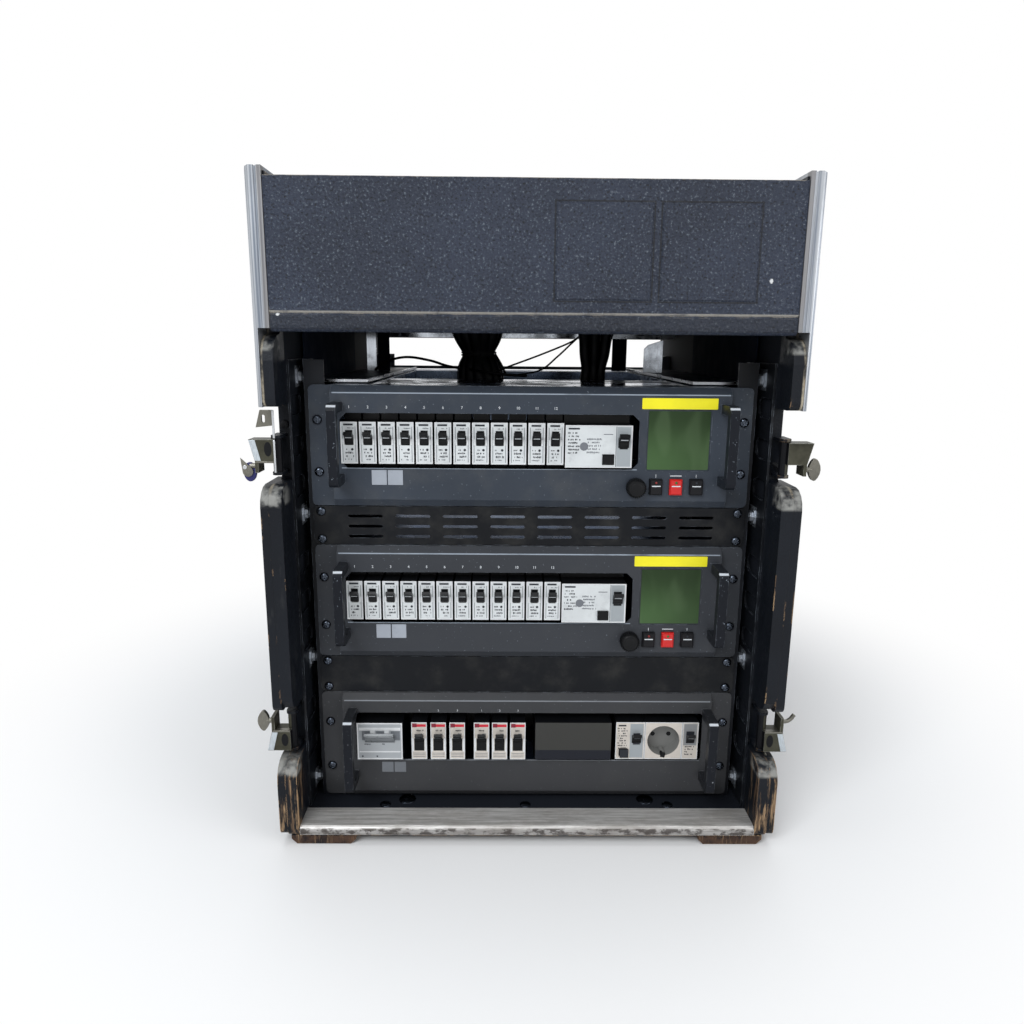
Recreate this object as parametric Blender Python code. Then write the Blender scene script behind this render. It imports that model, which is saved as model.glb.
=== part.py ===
"""Dimmer rack: plywood flight case with a shock-mounted 19-inch frame, two dimmer units, a power
distribution unit, a vent panel, a blank panel and a connection box above them. All lengths are in mm
here and are written to the meshes in metres. +Z is up, the front faces -Y, the origin is on the
ground under the middle of the case."""

import math

import bmesh
import bpy
from mathutils import Matrix, Vector

MM = 0.001
GAP = 0.3

# 19-inch system
U = 44.45
PANEL_W = 482.6
EAR_T = 3.0
EAR_HOLE_X = 232.55
EAR_Y = -275.0

# case
HALF_D = 340.0
CASE_TOP = 720.0
WALL_IN = 257.5
WALL_T = 13.0
BATTEN_T = 9.0
WALL_FRONT = -335.7
WALL_FOOT = 11.3
NOTCH_BACK = -287.0
NOTCHES = ((101.0, 162.0), (413.0, 494.0))
LUG_TOP = 566.0
LUG_R = 20.0
BATTEN_BACK = -262.0

# connection box and fascia
BOX_FLOOR = 584.0
BOX_ROOF = 711.5
BOX_REAR = 300.0
SHEET = 2.5
FASCIA_HALF = 259.0
LIP_BOTTOM = 568.0
SQUARES = ((18.6, 113.0), (120.3, 216.2))
SQUARE_Z = (599.0, 691.0)

# edge profiles
PROFILE_IN = 259.3
PROFILE_OUT = 276.0
PROFILE_LEG = 4.0
PROFILE_WIDTH = 44.0

# rack contents, top of each panel
UNIT1 = 514.0
VENT = UNIT1 - 3 * U
UNIT2 = VENT - U
BLANK = UNIT2 - 3 * U
UNIT3 = BLANK - U
FLOOR_TOP = 21.0
SHOCK_Z = (42.0, 197.0, 369.0, 521.8)
SHOCK_Y = -261.0

# unit body
BODY_HALF = 216.0
BODY_Y = -283.0
BODY_WALL = 2.0
UNIT_H = 132.5
PANEL_H = 43.7
BEVEL_H = 8.2
CHASSIS_HALF = 221.0
CHASSIS_FRONT = -271.7
TRAY_BACK = -212.0
CHASSIS_REAR = 262.0

# switchgear
NOSE_Y = -288.0
SHOULDER_Y = -262.0
PIVOT_Y = NOSE_Y + 3.5
DRUM_R = 6.0
SLOT_R = 6.4
LEVER_ANGLE = math.radians(35.0)
BREAKER_W = 18.0
BREAKER_PITCH = 20.2
BREAKER_X0 = -205.2
BREAKERS = 12
POWER_BREAKERS = (-135.8, -113.4, -91.2, -62.7, -41.5, -20.2)

# latches
LATCH_PIVOT_X = 268.0
LATCH_PIVOT_Y = -306.0
WING_X = 300.2


# Helpers
def material(name, colour, roughness, metallic=0.0):
    mat = bpy.data.materials.get(name)
    if mat:
        return mat
    mat = bpy.data.materials.new(name)
    mat.use_nodes = True
    shader = mat.node_tree.nodes["Principled BSDF"]
    shader.inputs["Base Color"].default_value = (*colour, 1.0)
    shader.inputs["Roughness"].default_value = roughness
    shader.inputs["Metallic"].default_value = metallic
    mat.diffuse_color = (*colour, 1.0)
    return mat


def prism(outline, axis, start, end):
    """Closed solid: an outline extruded from start to end along the axis. The outline's two
    coordinates are YZ for X, XZ for Y and XY for Z."""
    bm = bmesh.new()
    place = {
        "X": lambda u, v, w: (w, u, v),
        "Y": lambda u, v, w: (u, w, v),
        "Z": lambda u, v, w: (u, v, w),
    }[axis]
    base = [bm.verts.new(place(u, v, start)) for u, v in outline]
    face = bm.faces.new(base)
    top = bmesh.ops.extrude_face_region(bm, geom=[face])["geom"]
    shift = Vector(place(0.0, 0.0, end - start))
    bmesh.ops.translate(bm, verts=[v for v in top if isinstance(v, bmesh.types.BMVert)], vec=shift)
    bmesh.ops.recalc_face_normals(bm, faces=bm.faces)
    return bm


def block(x0, x1, y0, y1, z0, z1):
    return prism([(x0, y0), (x1, y0), (x1, y1), (x0, y1)], "Z", z0, z1)


def blocks(boxes):
    """Several separate boxes in one mesh, used as one set of cutters or additions."""
    return merge([block(*box) for box in boxes])


def merge(parts):
    bm = bmesh.new()
    for part in parts:
        mesh = bpy.data.meshes.new("part")
        part.to_mesh(mesh)
        part.free()
        bm.from_mesh(mesh)
        bpy.data.meshes.remove(mesh)
    return bm


def filleted(corners, step=22.5):
    """Outline whose corners (u, v, radius) are rounded by arcs of about the given step."""
    outline = []
    count = len(corners)
    for i, (u, v, radius) in enumerate(corners):
        here = Vector((u, v))
        if radius <= 0.0:
            outline.append((u, v))
            continue
        before = (Vector(corners[i - 1][:2]) - here).normalized()
        after = (Vector(corners[(i + 1) % count][:2]) - here).normalized()
        half = before.angle(after) / 2.0
        reach = radius / math.tan(half)
        centre = here + (before + after).normalized() * (radius / math.sin(half))
        first = here + before * reach - centre
        last = here + after * reach - centre
        turn = math.atan2(first.x * last.y - first.y * last.x, first.dot(last))
        parts = max(1, round(abs(math.degrees(turn)) / step))
        for k in range(parts + 1):
            angle = turn * k / parts
            spoke = Matrix.Rotation(angle, 2) @ first
            outline.append((centre.x + spoke.x, centre.y + spoke.y))
    return outline


def rect(u0, u1, v0, v1, radius=0.0, step=30.0):
    return filleted([(u0, v0, radius), (u1, v0, radius), (u1, v1, radius), (u0, v1, radius)], step)


def disc(u, v, radius, sides=16):
    turn = 2.0 * math.pi / sides
    return [(u + radius * math.cos(turn * i), v + radius * math.sin(turn * i)) for i in range(sides)]


def turned(profile, sides, axis="Y"):
    """Revolve (radius, height) points round the axis, with pointed or capped ends on it."""
    bm = bmesh.new()
    rings = []
    for radius, height in profile:
        ring = []
        for i in range(sides):
            angle = 2.0 * math.pi * i / sides
            a, b = radius * math.cos(angle), radius * math.sin(angle)
            place = {"X": (height, a, b), "Y": (a, height, b), "Z": (a, b, height)}[axis]
            ring.append(bm.verts.new(place))
        rings.append(ring)
    for low, high in zip(rings, rings[1:]):
        for i in range(sides):
            j = (i + 1) % sides
            bm.faces.new((low[i], low[j], high[j], high[i]))
    bm.faces.new(rings[0])
    bm.faces.new(rings[-1])
    bmesh.ops.recalc_face_normals(bm, faces=bm.faces)
    return bm


def moved(bm, x=0.0, y=0.0, z=0.0):
    bmesh.ops.translate(bm, verts=bm.verts, vec=(x, y, z))
    return bm


def to_object(name, bm):
    mesh = bpy.data.meshes.new(name)
    bmesh.ops.scale(bm, vec=(MM, MM, MM), verts=bm.verts)
    bm.to_mesh(mesh)
    bm.free()
    obj = bpy.data.objects.new(name, mesh)
    bpy.context.scene.collection.objects.link(obj)
    return obj


def make(name, base, mat, add=(), cut=(), origin=(0.0, 0.0, 0.0), smooth=None):
    """One sub-part: a base solid with Boolean unions and cuts baked into its mesh. The origin is
    where the object is placed, on the joint's axis for a moving piece."""
    obj = to_object(name, base)
    tools = []
    for operation, solids in (("UNION", add), ("DIFFERENCE", cut)):
        for solid in solids:
            tool = to_object("tool", solid)
            tool.hide_render = True
            tool.display_type = "WIRE"
            tools.append(tool)
            modifier = obj.modifiers.new(operation.lower(), "BOOLEAN")
            modifier.operation = operation
            modifier.solver = "EXACT"
            modifier.object = tool
    if tools:
        bpy.context.view_layer.update()
        graph = bpy.context.evaluated_depsgraph_get()
        baked = bpy.data.meshes.new_from_object(obj.evaluated_get(graph))
        obj.modifiers.clear()
        obj.data = baked
        for tool in tools:
            bpy.data.objects.remove(tool)
    tidy = bmesh.new()
    tidy.from_mesh(obj.data)
    bmesh.ops.remove_doubles(tidy, verts=tidy.verts, dist=0.000002)
    bmesh.ops.dissolve_degenerate(tidy, edges=tidy.edges, dist=0.000002)
    bmesh.ops.translate(tidy, verts=tidy.verts, vec=Vector(origin) * -MM)
    tidy.to_mesh(obj.data)
    tidy.free()
    obj.data.name = name
    obj.location = Vector(origin) * MM
    obj.data.materials.clear()
    obj.data.materials.append(mat)
    if smooth:
        obj.data.shade_smooth()
        obj.data.set_sharp_from_angle(angle=math.radians(smooth))
    return obj


# Materials
BLACK_PLY = material("black plywood", (0.02, 0.022, 0.028), 0.6)
BLACK_PAINT = material("black structure paint", (0.012, 0.012, 0.014), 0.55)
ALUMINIUM = material("aluminium profile", (0.62, 0.63, 0.64), 0.35, 1.0)
ZINC = material("zinc-plated steel", (0.3, 0.31, 0.3), 0.45, 1.0)
FRAME_BLACK = material("black frame steel", (0.03, 0.032, 0.036), 0.5)
BLUE_GREY = material("blue-grey panel paint", (0.09, 0.105, 0.13), 0.45)
WARM_GREY = material("dark grey panel paint", (0.045, 0.045, 0.047), 0.45)
PANEL_BLACK = material("black panel paint", (0.018, 0.018, 0.022), 0.45)
CHASSIS_STEEL = material("chassis sheet steel", (0.5, 0.51, 0.5), 0.4, 1.0)
BREAKER_WHITE = material("breaker plastic", (0.62, 0.62, 0.58), 0.4)
LEVER_BLACK = material("lever plastic", (0.015, 0.015, 0.016), 0.35)
KEY_BLACK = material("key plastic", (0.02, 0.02, 0.022), 0.4)
KEY_RED = material("red key plastic", (0.45, 0.03, 0.025), 0.4)
CABLE_GREY = material("cable jacket", (0.03, 0.03, 0.033), 0.5)


# Case
def side_wall(name, side):
    """Plywood side: one routed profile with three lugs and two latch notches, with battens on the
    two lower lugs and the steel knuckles that hold the latch pins."""
    (low0, low1), (high0, high1) = NOTCHES
    front = -HALF_D
    outline = filleted(
        [
            (front, WALL_FOOT, 8.0),
            (front, low0, LUG_R),
            (NOTCH_BACK, low0, 5.0),
            (NOTCH_BACK, low1, 5.0),
            (front, low1, LUG_R),
            (front, high0, LUG_R),
            (NOTCH_BACK, high0, 5.0),
            (NOTCH_BACK, high1, 5.0),
            (front, high1, 8.0),
            (front, LUG_TOP, 26.0),
            (-312.0, LUG_TOP, 2.0),
            (-312.0, LUG_TOP + 5.0, 0.0),
            (WALL_FRONT, LUG_TOP + 5.0, 0.0),
            (WALL_FRONT, CASE_TOP - PROFILE_LEG - GAP, 0.0),
            (-WALL_FRONT, CASE_TOP - PROFILE_LEG - GAP, 0.0),
            (-WALL_FRONT, WALL_FOOT, 0.0),
        ]
    )
    inner, outer = side * WALL_IN, side * (WALL_IN + WALL_T)
    battens = []
    for z0, z1 in ((WALL_FOOT + 0.6, low0 - 0.6), (low1 + 0.6, high0 - 0.6)):
        batten = filleted([(front + 0.6, z0, 9.0), (front + 0.6, z1, LUG_R + 2.0), (BATTEN_BACK, z1, 8.0),
                           (BATTEN_BACK, z0, 8.0)])
        battens.append(prism(batten, "X", side * (WALL_IN + WALL_T - 1.0), side * (WALL_IN + WALL_T + BATTEN_T)))
    knuckles = []
    for _, z0, z1 in LATCH_SPANS:
        for k0, k1 in ((z0 - 3.5, z0 - GAP), (z1 + GAP, z1 + 3.5)):
            eye = filleted([(262.0, NOTCH_BACK + 4.0, 0.0), (262.0, -312.0, 5.5), (274.0, -312.0, 5.5),
                            (274.0, NOTCH_BACK + 4.0, 0.0)])
            knuckles.append(prism([(side * x, y) for x, y in eye], "Z", k0, k1))
    make(name, prism(outline, "X", inner, outer), BLACK_PLY, add=[merge(battens), merge(knuckles)])


def edge_profile(name, side):
    """Extruded aluminium edge with two grooves in each leg, mitred round the front, top and rear."""
    out, width = PROFILE_OUT, PROFILE_WIDTH
    section = [
        (0.0, PROFILE_IN), (0.0, 264.0), (0.8, 264.6), (0.8, 266.0), (0.0, 266.6), (0.0, 271.5),
        (1.3, 274.7), (4.5, out), (13.0, out), (13.7, out - 0.8), (15.5, out - 0.8), (16.2, out),
        (30.0, out), (30.7, out - 0.8), (32.5, out - 0.8), (33.2, out), (width - 2.0, out),
        (width, out - 2.0), (width, WALL_IN + WALL_T + GAP), (PROFILE_LEG, WALL_IN + WALL_T + GAP),
        (PROFILE_LEG, PROFILE_IN),
    ]
    bm = bmesh.new()
    lines = []
    for u, x in section:
        stations = [
            (-HALF_D + u, NOTCHES[1][1]),
            (-HALF_D + u, CASE_TOP - u),
            (HALF_D - u, CASE_TOP - u),
            (HALF_D - u, WALL_FOOT),
        ]
        lines.append([bm.verts.new((side * x, y, z)) for y, z in stations])
    count = len(lines)
    for i in range(count):
        here, there = lines[i], lines[(i + 1) % count]
        for k in range(3):
            bm.faces.new((here[k], here[k + 1], there[k + 1], there[k]))
    bm.faces.new([line[0] for line in lines])
    bm.faces.new([line[3] for line in lines])
    bmesh.ops.recalc_face_normals(bm, faces=bm.faces)
    x0, x1 = sorted((side * (PROFILE_IN - 2.0), side * (WALL_IN + WALL_T + GAP)))
    relief = block(x0, x1, -HALF_D - 2.0, -HALF_D + 8.0, NOTCHES[1][1] - 5.0, LUG_TOP + 5.0)
    make(name, bm, ALUMINIUM, cut=[relief])


def floor_board():
    """Floor board on two chamfered wooden skids."""
    skids = []
    for side in (-1.0, 1.0):
        outline = [(195.0, 6.0), (201.0, 0.0), (262.0, 0.0), (268.0, 6.0), (268.0, 11.0), (256.0, 11.0),
                   (256.0, 13.0), (195.0, 13.0)]
        skids.append(prism([(side * x, z) for x, z in outline], "Y", -336.0, HALF_D))
    edge = WALL_IN - GAP
    make("floor_board", block(-edge, edge, -336.7, HALF_D - GAP, 11.0, FLOOR_TOP), BLACK_PLY, add=[merge(skids)])


def front_sill():
    """Bright angle over the front edge of the floor."""
    outline = filleted(
        [
            (-HALF_D, 14.0, 0.0), (-HALF_D, 24.0, 6.0), (-303.0, 24.0, 0.0), (-303.0, FLOOR_TOP + GAP, 0.0),
            (-337.0, FLOOR_TOP + GAP, 0.0), (-337.0, 14.0, 0.0),
        ]
    )
    make("front_sill", prism(outline, "X", -WALL_IN + GAP, WALL_IN - GAP), ALUMINIUM)


def connection_box():
    """Folded sheet box between the walls, open at the front, with a cross member under its rear edge."""
    edge, front = WALL_IN - GAP, -335.7
    hollow = block(-edge + SHEET, edge - SHEET, front - 5.0, BOX_REAR - SHEET, BOX_FLOOR + SHEET, BOX_ROOF - SHEET)
    member = [(283.0, LIP_BOTTOM), (299.0, LIP_BOTTOM), (299.0, BOX_FLOOR + 1.0), (296.0, BOX_FLOOR + 1.0),
              (296.0, LIP_BOTTOM + 3.0), (286.0, LIP_BOTTOM + 3.0), (286.0, BOX_FLOOR + 1.0),
              (283.0, BOX_FLOOR + 1.0)]
    body = block(-edge, edge, front, BOX_REAR, BOX_FLOOR, BOX_ROOF)
    make("connection_box", body, FRAME_BLACK, cut=[hollow], add=[prism(member, "X", -249.0, 249.0)])


def front_fascia():
    """Steel fascia with a rolled lower lip and two embossed squares, pressed out by 1 mm."""
    face, back = -HALF_D + 1.0, -HALF_D + 4.0
    outline = filleted(
        [
            (face, BOX_ROOF, 0.0), (face, 587.0, 0.0), (face + 1.2, 585.5, 0.0), (face, 584.0, 0.0),
            (face, LIP_BOTTOM, 6.0), (-328.0, LIP_BOTTOM, 0.0), (-328.0, LIP_BOTTOM + 2.5, 0.0),
            (back, LIP_BOTTOM + 2.5, 0.0), (back, BOX_ROOF, 0.0),
        ]
    )
    z0, z1 = SQUARE_Z
    squares = []
    for x0, x1 in SQUARES:
        squares.append(block(x0, x1, -HALF_D, face + 1.0, z0, z1))
        rim = [v for v in squares[-1].verts if v.co.y < -HALF_D + 0.5]
        centre = Vector(((x0 + x1) / 2.0, 0.0, (z0 + z1) / 2.0))
        for v in rim:
            v.co.x -= math.copysign(2.0, v.co.x - centre.x)
            v.co.z -= math.copysign(2.0, v.co.z - centre.z)
    make("front_fascia", prism(outline, "X", -FASCIA_HALF, FASCIA_HALF), BLACK_PAINT, add=[merge(squares)])


# Rack frame
def post_section(side, front):
    """Folded rail: flange behind the panel ears, return web, and the side plate on the wall."""
    y0 = CHASSIS_FRONT if front else 275.5
    y = [y0, y0 + 2.5, y0 + 33.2, y0 + 35.7, y0 - 24.0]
    if not front:
        y = [y0, y0 - 2.5, y0 - 33.2, y0 - 35.7, y0 + 24.0]
    outer = WALL_IN - GAP
    points = [
        (224.0, y[0]), (246.0, y[0]), (246.0, y[2]), (outer - 2.5, y[2]), (outer - 2.5, y[4]), (outer, y[4]),
        (outer, y[3]), (243.5, y[3]), (243.5, y[1]), (224.0, y[1]),
    ]
    return [(side * x, v) for x, v in points]


def rack_frame():
    """Four perforated rails joined by side plates over the top unit, runners under the units, rear ties
    and the shock bolts on the walls."""
    posts, holes, extras = [], [], []
    for side in (-1.0, 1.0):
        for front in (True, False):
            posts.append(prism(post_section(side, front), "Z", FLOOR_TOP + 1.0, 540.0))
            y0, y1 = (CHASSIS_FRONT - 1.0, CHASSIS_FRONT + 4.0) if front else (271.0, 277.0)
            for unit in range(11):
                for offset in ((6.35, 38.1) if front else (22.225,)):
                    z = UNIT1 - unit * U - offset
                    x0, x1 = sorted((side * (EAR_HOLE_X - 4.6), side * (EAR_HOLE_X + 4.6)))
                    holes.append(block(x0, x1, y0, y1, z - 4.6, z + 4.6))
        for unit in range(11):
            z = UNIT1 - (unit + 0.5) * U
            if min(abs(z - bolt) for bolt in SHOCK_Z) < 22.0:
                continue
            x0, x1 = side * (WALL_IN - 5.0), side * WALL_IN
            window = filleted([(-290.0, z - 11.0, 0.0), (-252.0, z - 11.0, 10.0), (-252.0, z + 11.0, 10.0),
                               (-290.0, z + 11.0, 0.0)], 45.0)
            holes.append(prism(window, "X", x0, x1))
        x0, x1 = sorted((side * 182.0, side * 256.0))
        extras.append(block(x0, x1, -240.0, 244.0, 514.7, 517.2))
        for z in (UNIT1 - 3 * U - 2.9, UNIT2 - 3 * U - 2.9, FLOOR_TOP + 1.2):
            runner = [(205.0, z), (245.0, z), (245.0, z - 0.2 + 14.0), (243.8, z - 0.2 + 14.0), (243.8, z + 2.0),
                      (205.0, z + 2.0)]
            extras.append(prism([(side * x, v) for x, v in runner], "Y", -262.0, 273.0))
        for z in SHOCK_Z:
            bolt = turned([(10.5, 0.0), (10.5, 3.0), (6.5, 3.0), (6.5, 6.2), (4.5, 8.0)], 8, "X")
            bmesh.ops.scale(bolt, vec=(-side, 1.0, 1.0), verts=bolt.verts)
            bmesh.ops.recalc_face_normals(bolt, faces=bolt.faces)
            extras.append(moved(bolt, side * (WALL_IN - 1.5), SHOCK_Y, z))
    for z0, z1 in ((FLOOR_TOP + 1.1, FLOOR_TOP + 11.1), (514.8, 520.0)):
        extras.append(block(-250.0, 250.0, 273.2, 275.4, z0, z1))
    first = posts.pop(0)
    make("rack_frame", first, FRAME_BLACK, add=[merge(posts), *extras], cut=[merge(holes)])


# Panels
def ear_plate(top, height, holes, thickness=EAR_T):
    """Panel plate with ears, rounded corners and its oblong fixing holes as cutters."""
    half = PANEL_W / 2.0
    plate = prism(rect(-half, half, top - 0.5 - height, top - 0.5, 5.5), "Y", EAR_Y, EAR_Y + thickness)
    slots = []
    for side in (-1.0, 1.0):
        for offset in holes:
            x, z = side * EAR_HOLE_X, top - offset
            slots.append(prism(rect(x - 5.0, x + 5.0, z - 3.4, z + 3.4, 3.3, 45.0), "Y", EAR_Y - 2.0, EAR_Y + 5.0))
    return plate, slots


def thin_panel(name, top, slotted):
    """One-unit panel with folded top and bottom edges, with or without its slot pattern."""
    plate, cutters = ear_plate(top, PANEL_H, (6.35, 38.1), 2.0)
    folds = []
    for z in (top - 0.5 - 1.5, top - 0.5 - PANEL_H):
        folds.append(block(-221.0, 221.0, EAR_Y + 1.0, EAR_Y + 11.0, z, z + 1.5))
    if slotted:
        for row in range(3):
            for column in range(8):
                x = -203.4 + 19.65 + 52.95 * column
                z = top - 11.8 - 11.6 * row
                slot = rect(x - 19.65, x + 19.65, z - 1.7, z + 1.7, 1.6, 90.0)
                cutters.append(prism(slot, "Y", EAR_Y - 2.0, EAR_Y + 4.0))
    make(name, plate, PANEL_BLACK, add=[merge(folds)], cut=[merge(cutters)])


def handle(x0, x1, z0, z1):
    """Square bar handle with rounded bends, standing on the unit's front."""
    reach, bar = -320.0, 10.0
    outline = filleted(
        [
            (BODY_Y + 1.0, z0, 0.0), (reach, z0, 7.0), (reach, z1, 7.0), (BODY_Y + 1.0, z1, 0.0),
            (BODY_Y + 1.0, z1 - bar, 0.0), (reach + bar, z1 - bar, 2.0), (reach + bar, z0 + bar, 2.0),
            (BODY_Y + 1.0, z0 + bar, 0.0),
        ],
        30.0,
    )
    return prism(outline, "X", x0, x1)


def unit_front(name, top, mat, window, chamfer, handles, cutters):
    """Unit faceplate: ears, a bevelled hollow body with a chamfered window, and two handles."""
    plate, slots = ear_plate(top, UNIT_H, (38.1, 95.25))
    low, high = top - UNIT_H, top - 1.0
    body = prism(
        [(EAR_Y + 1.0, low), (EAR_Y - 1.5, low), (BODY_Y, low + BEVEL_H), (BODY_Y, high - BEVEL_H + 1.0),
         (EAR_Y - 1.5, high), (EAR_Y + 1.0, high)],
        "X", -BODY_HALF, BODY_HALF,
    )
    inside = BODY_HALF - BODY_WALL
    pocket = block(-inside, inside, BODY_Y + BODY_WALL, EAR_Y + 5.0, low + BEVEL_H, high - BEVEL_H)
    x0, x1, z0, z1 = window
    c = chamfer
    z0, z1 = top + z0, top + z1
    opening = [(x0 + c, z0), (x1 - c, z0), (x1, z0 + c), (x1, z1 - c), (x1 - c, z1), (x0 + c, z1), (x0, z1 - c),
               (x0, z0 + c)]
    bars = [handle(a, b, top + d, top + e) for a, b, d, e in handles]
    cut = [pocket, merge([prism(opening, "Y", BODY_Y - 3.0, BODY_Y + 4.0), *slots, *cutters])]
    make(name, plate, mat, add=[body, merge(bars)], cut=cut)


def chassis(name, top, rear, well=False):
    """Unit chassis: front tray for the switchgear and, on the top unit, the open cable well with its
    toothed terminal rail."""
    high, low = top - 0.6, top - 131.9
    body = block(-CHASSIS_HALF, CHASSIS_HALF, CHASSIS_FRONT, rear, low, high)
    cut = [block(-217.5, 217.5, CHASSIS_FRONT - 3.0, TRAY_BACK, low + 3.0, high - 3.0)]
    if well:
        cut.append(block(-178.0, 178.0, -108.0, 205.0, top - 118.0, high + 3.0))
        teeth = blocks([(x - 4.0, x + 4.0, 104.0, 132.0, top - 100.0, top - 92.0)
                        for x in (-150.0 + 12.0 * i for i in range(26))])
        rail = block(-156.0, 156.0, 100.0, 136.0, top - 121.0, top - 98.0)
    make(name, body, CHASSIS_STEEL, cut=cut)
    if well:
        add_to(bpy.data.objects[name], [rail, teeth])


def add_to(obj, solids):
    """Union more solids onto a finished sub-part."""
    for solid in solids:
        tool = to_object("tool", solid)
        modifier = obj.modifiers.new("union", "BOOLEAN")
        modifier.operation = "UNION"
        modifier.solver = "EXACT"
        modifier.object = tool
        bpy.context.view_layer.update()
        graph = bpy.context.evaluated_depsgraph_get()
        baked = bpy.data.meshes.new_from_object(obj.evaluated_get(graph))
        obj.modifiers.clear()
        obj.data = baked
        obj.data.name = obj.name
        bpy.data.objects.remove(tool)


# Switchgear
def lever_outline(reach, root=2.2, tip=1.6):
    """Drum with a tapered handle, in the pivot's own YZ plane, thrown up by the lever angle."""
    along = Vector((-math.cos(LEVER_ANGLE), math.sin(LEVER_ANGLE)))
    across = Vector((-along.y, along.x))
    start = math.atan2(along.y, along.x) + math.asin(root / DRUM_R)
    sweep = 2.0 * math.pi - 2.0 * math.asin(root / DRUM_R)
    outline = []
    for i in range(13):
        angle = start + sweep * i / 12.0
        outline.append((DRUM_R * math.cos(angle), DRUM_R * math.sin(angle)))
    for offset in (-tip, tip):
        point = along * reach + across * offset
        outline.append((point.x, point.y))
    return outline


def lever(name, x0, x1, pivot_z, mat, reach=14.5):
    origin = ((x0 + x1) / 2.0, PIVOT_Y, pivot_z)
    outline = [(y + PIVOT_Y, z + pivot_z) for y, z in lever_outline(reach)]
    make(name, prism(outline, "X", x0, x1), mat, origin=origin, smooth=40.0)


def fixed_lever(x0, x1, pivot_z, reach=14.5):
    """The same lever's visible half, fused to a module."""
    outline = [(y + PIVOT_Y, z + pivot_z) for y, z in lever_outline(reach) if y < 3.0]
    return prism(outline, "X", x0, x1)


def lever_slot(x0, x1, pivot_z):
    outline = disc(PIVOT_Y, pivot_z, SLOT_R, 16)
    return prism(outline, "X", x0 - GAP, x1 + GAP)


def module(x0, x1, top, nose0, nose1):
    """Rail-mounted module: 45 mm nose, stepped shoulders and the foot on the rail."""
    middle = top + (nose0 + nose1) / 2.0
    high, low = middle + 42.0, middle - 42.0
    outline = [
        (NOSE_Y, top + nose0), (NOSE_Y, top + nose1), (SHOULDER_Y, top + nose1), (SHOULDER_Y, high),
        (-224.0, high), (-216.5, middle + 18.0), (-216.5, middle - 18.0), (-224.0, low), (SHOULDER_Y, low),
        (SHOULDER_Y, top + nose0),
    ]
    return prism(outline, "X", x0, x1)


def mounting_rail(x0, x1, middle):
    """35 mm top-hat rail behind the modules."""
    outline = [(-220.0, middle - 17.5), (-220.0, middle + 17.5), (-218.5, middle + 17.5), (-218.5, middle + 13.0),
               (-212.4, middle + 13.0), (-212.4, middle - 13.0), (-218.5, middle - 13.0), (-218.5, middle - 17.5)]
    return prism(outline, "X", x0, x1)


def dimmer_row(name, top, loose):
    """Twelve breakers and one residual current breaker on their rail. Slots hold loose levers, and the
    plainer row carries its levers fused."""
    modules = []
    for i in range(BREAKERS):
        x = BREAKER_X0 + BREAKER_PITCH * i
        modules.append(module(x, x + BREAKER_W, top, -83.9, -38.8))
    modules.append(module(36.8, 109.2, top, -86.7, -40.8))
    middle = top - 61.4
    add, cut = [merge(modules)], []
    spans = [breaker_lever_span(i) for i in range(BREAKERS)]
    if loose:
        cut.append(merge([lever_slot(x0, x1, middle + 3.0) for x0, x1 in spans]))
        cut.append(lever_slot(*RCD_LEVER, middle + 1.5))
        cut.append(block(77.1, 90.1, NOSE_Y - 2.0, NOSE_Y + 9.0, top - 83.6, top - 72.0))
    else:
        add.append(merge([fixed_lever(x0, x1, middle + 3.0) for x0, x1 in spans]))
        add.append(fixed_lever(*RCD_LEVER, middle + 1.5, 16.0))
        add.append(block(77.4, 89.8, NOSE_Y - 1.8, NOSE_Y + 2.0, top - 83.3, top - 72.3))
    make(name, mounting_rail(-206.5, 112.0, middle), BREAKER_WHITE, add=add, cut=cut)


def breaker_lever_span(index):
    centre = BREAKER_X0 + BREAKER_PITCH * index + BREAKER_W / 2.0
    return centre - 4.5, centre + 4.5


def power_row():
    """Main switch, six breakers, filler, residual current breaker, earthed socket and its breaker."""
    top = UNIT3
    middle = top - 56.5
    modules = [module(-199.5, -146.5, top, -80.4, -34.0)]
    modules += [module(x, x + BREAKER_W, top, -80.0, -33.0) for x in POWER_BREAKERS]
    modules += [module(9.4, 98.7, top, -80.0, -33.0), module(104.0, 138.0, top, -79.0, -32.0)]
    modules += [module(138.4, 182.0, top, -79.0, -32.0), module(182.4, 201.0, top, -79.0, -32.0)]
    cut = [merge([lever_slot(x + 4.5, x + 13.5, middle + 3.0) for x in POWER_BREAKERS])]
    cut.append(lever_slot(*MAIN_LEVER, middle + 3.0))
    cut.append(lever_slot(*POWER_RCD_LEVER, middle + 3.0))
    well = moved(turned([(19.0, -3.0), (19.0, 17.5)], 24, "Y"), SOCKET[0], NOSE_Y, SOCKET[1])
    pins = [moved(turned([(2.5, 10.0), (2.5, 26.0)], 8, "Y"), SOCKET[0] + dx, NOSE_Y, SOCKET[1]) for dx in (-9.5, 9.5)]
    cut += [well, merge(pins)]
    x, z = SOCKET
    clips = merge([block(x - 2.2, x + 2.2, NOSE_Y + 3.0, NOSE_Y + 19.0, z + s * 18.0 - 2.0, z + s * 18.0 + 2.0)
                   for s in (-1.0, 1.0)])
    add = [merge(modules[:9]), merge(modules[9:]), fixed_lever(187.2, 196.2, middle + 3.0)]
    add.append(block(108.0, 118.0, NOSE_Y - 1.6, NOSE_Y + 2.0, top - 74.0, top - 65.0))
    make("power_switchgear_row", mounting_rail(-202.0, 204.0, middle), BREAKER_WHITE, add=add, cut=cut)
    add_to(bpy.data.objects["power_switchgear_row"], [clips])


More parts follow.
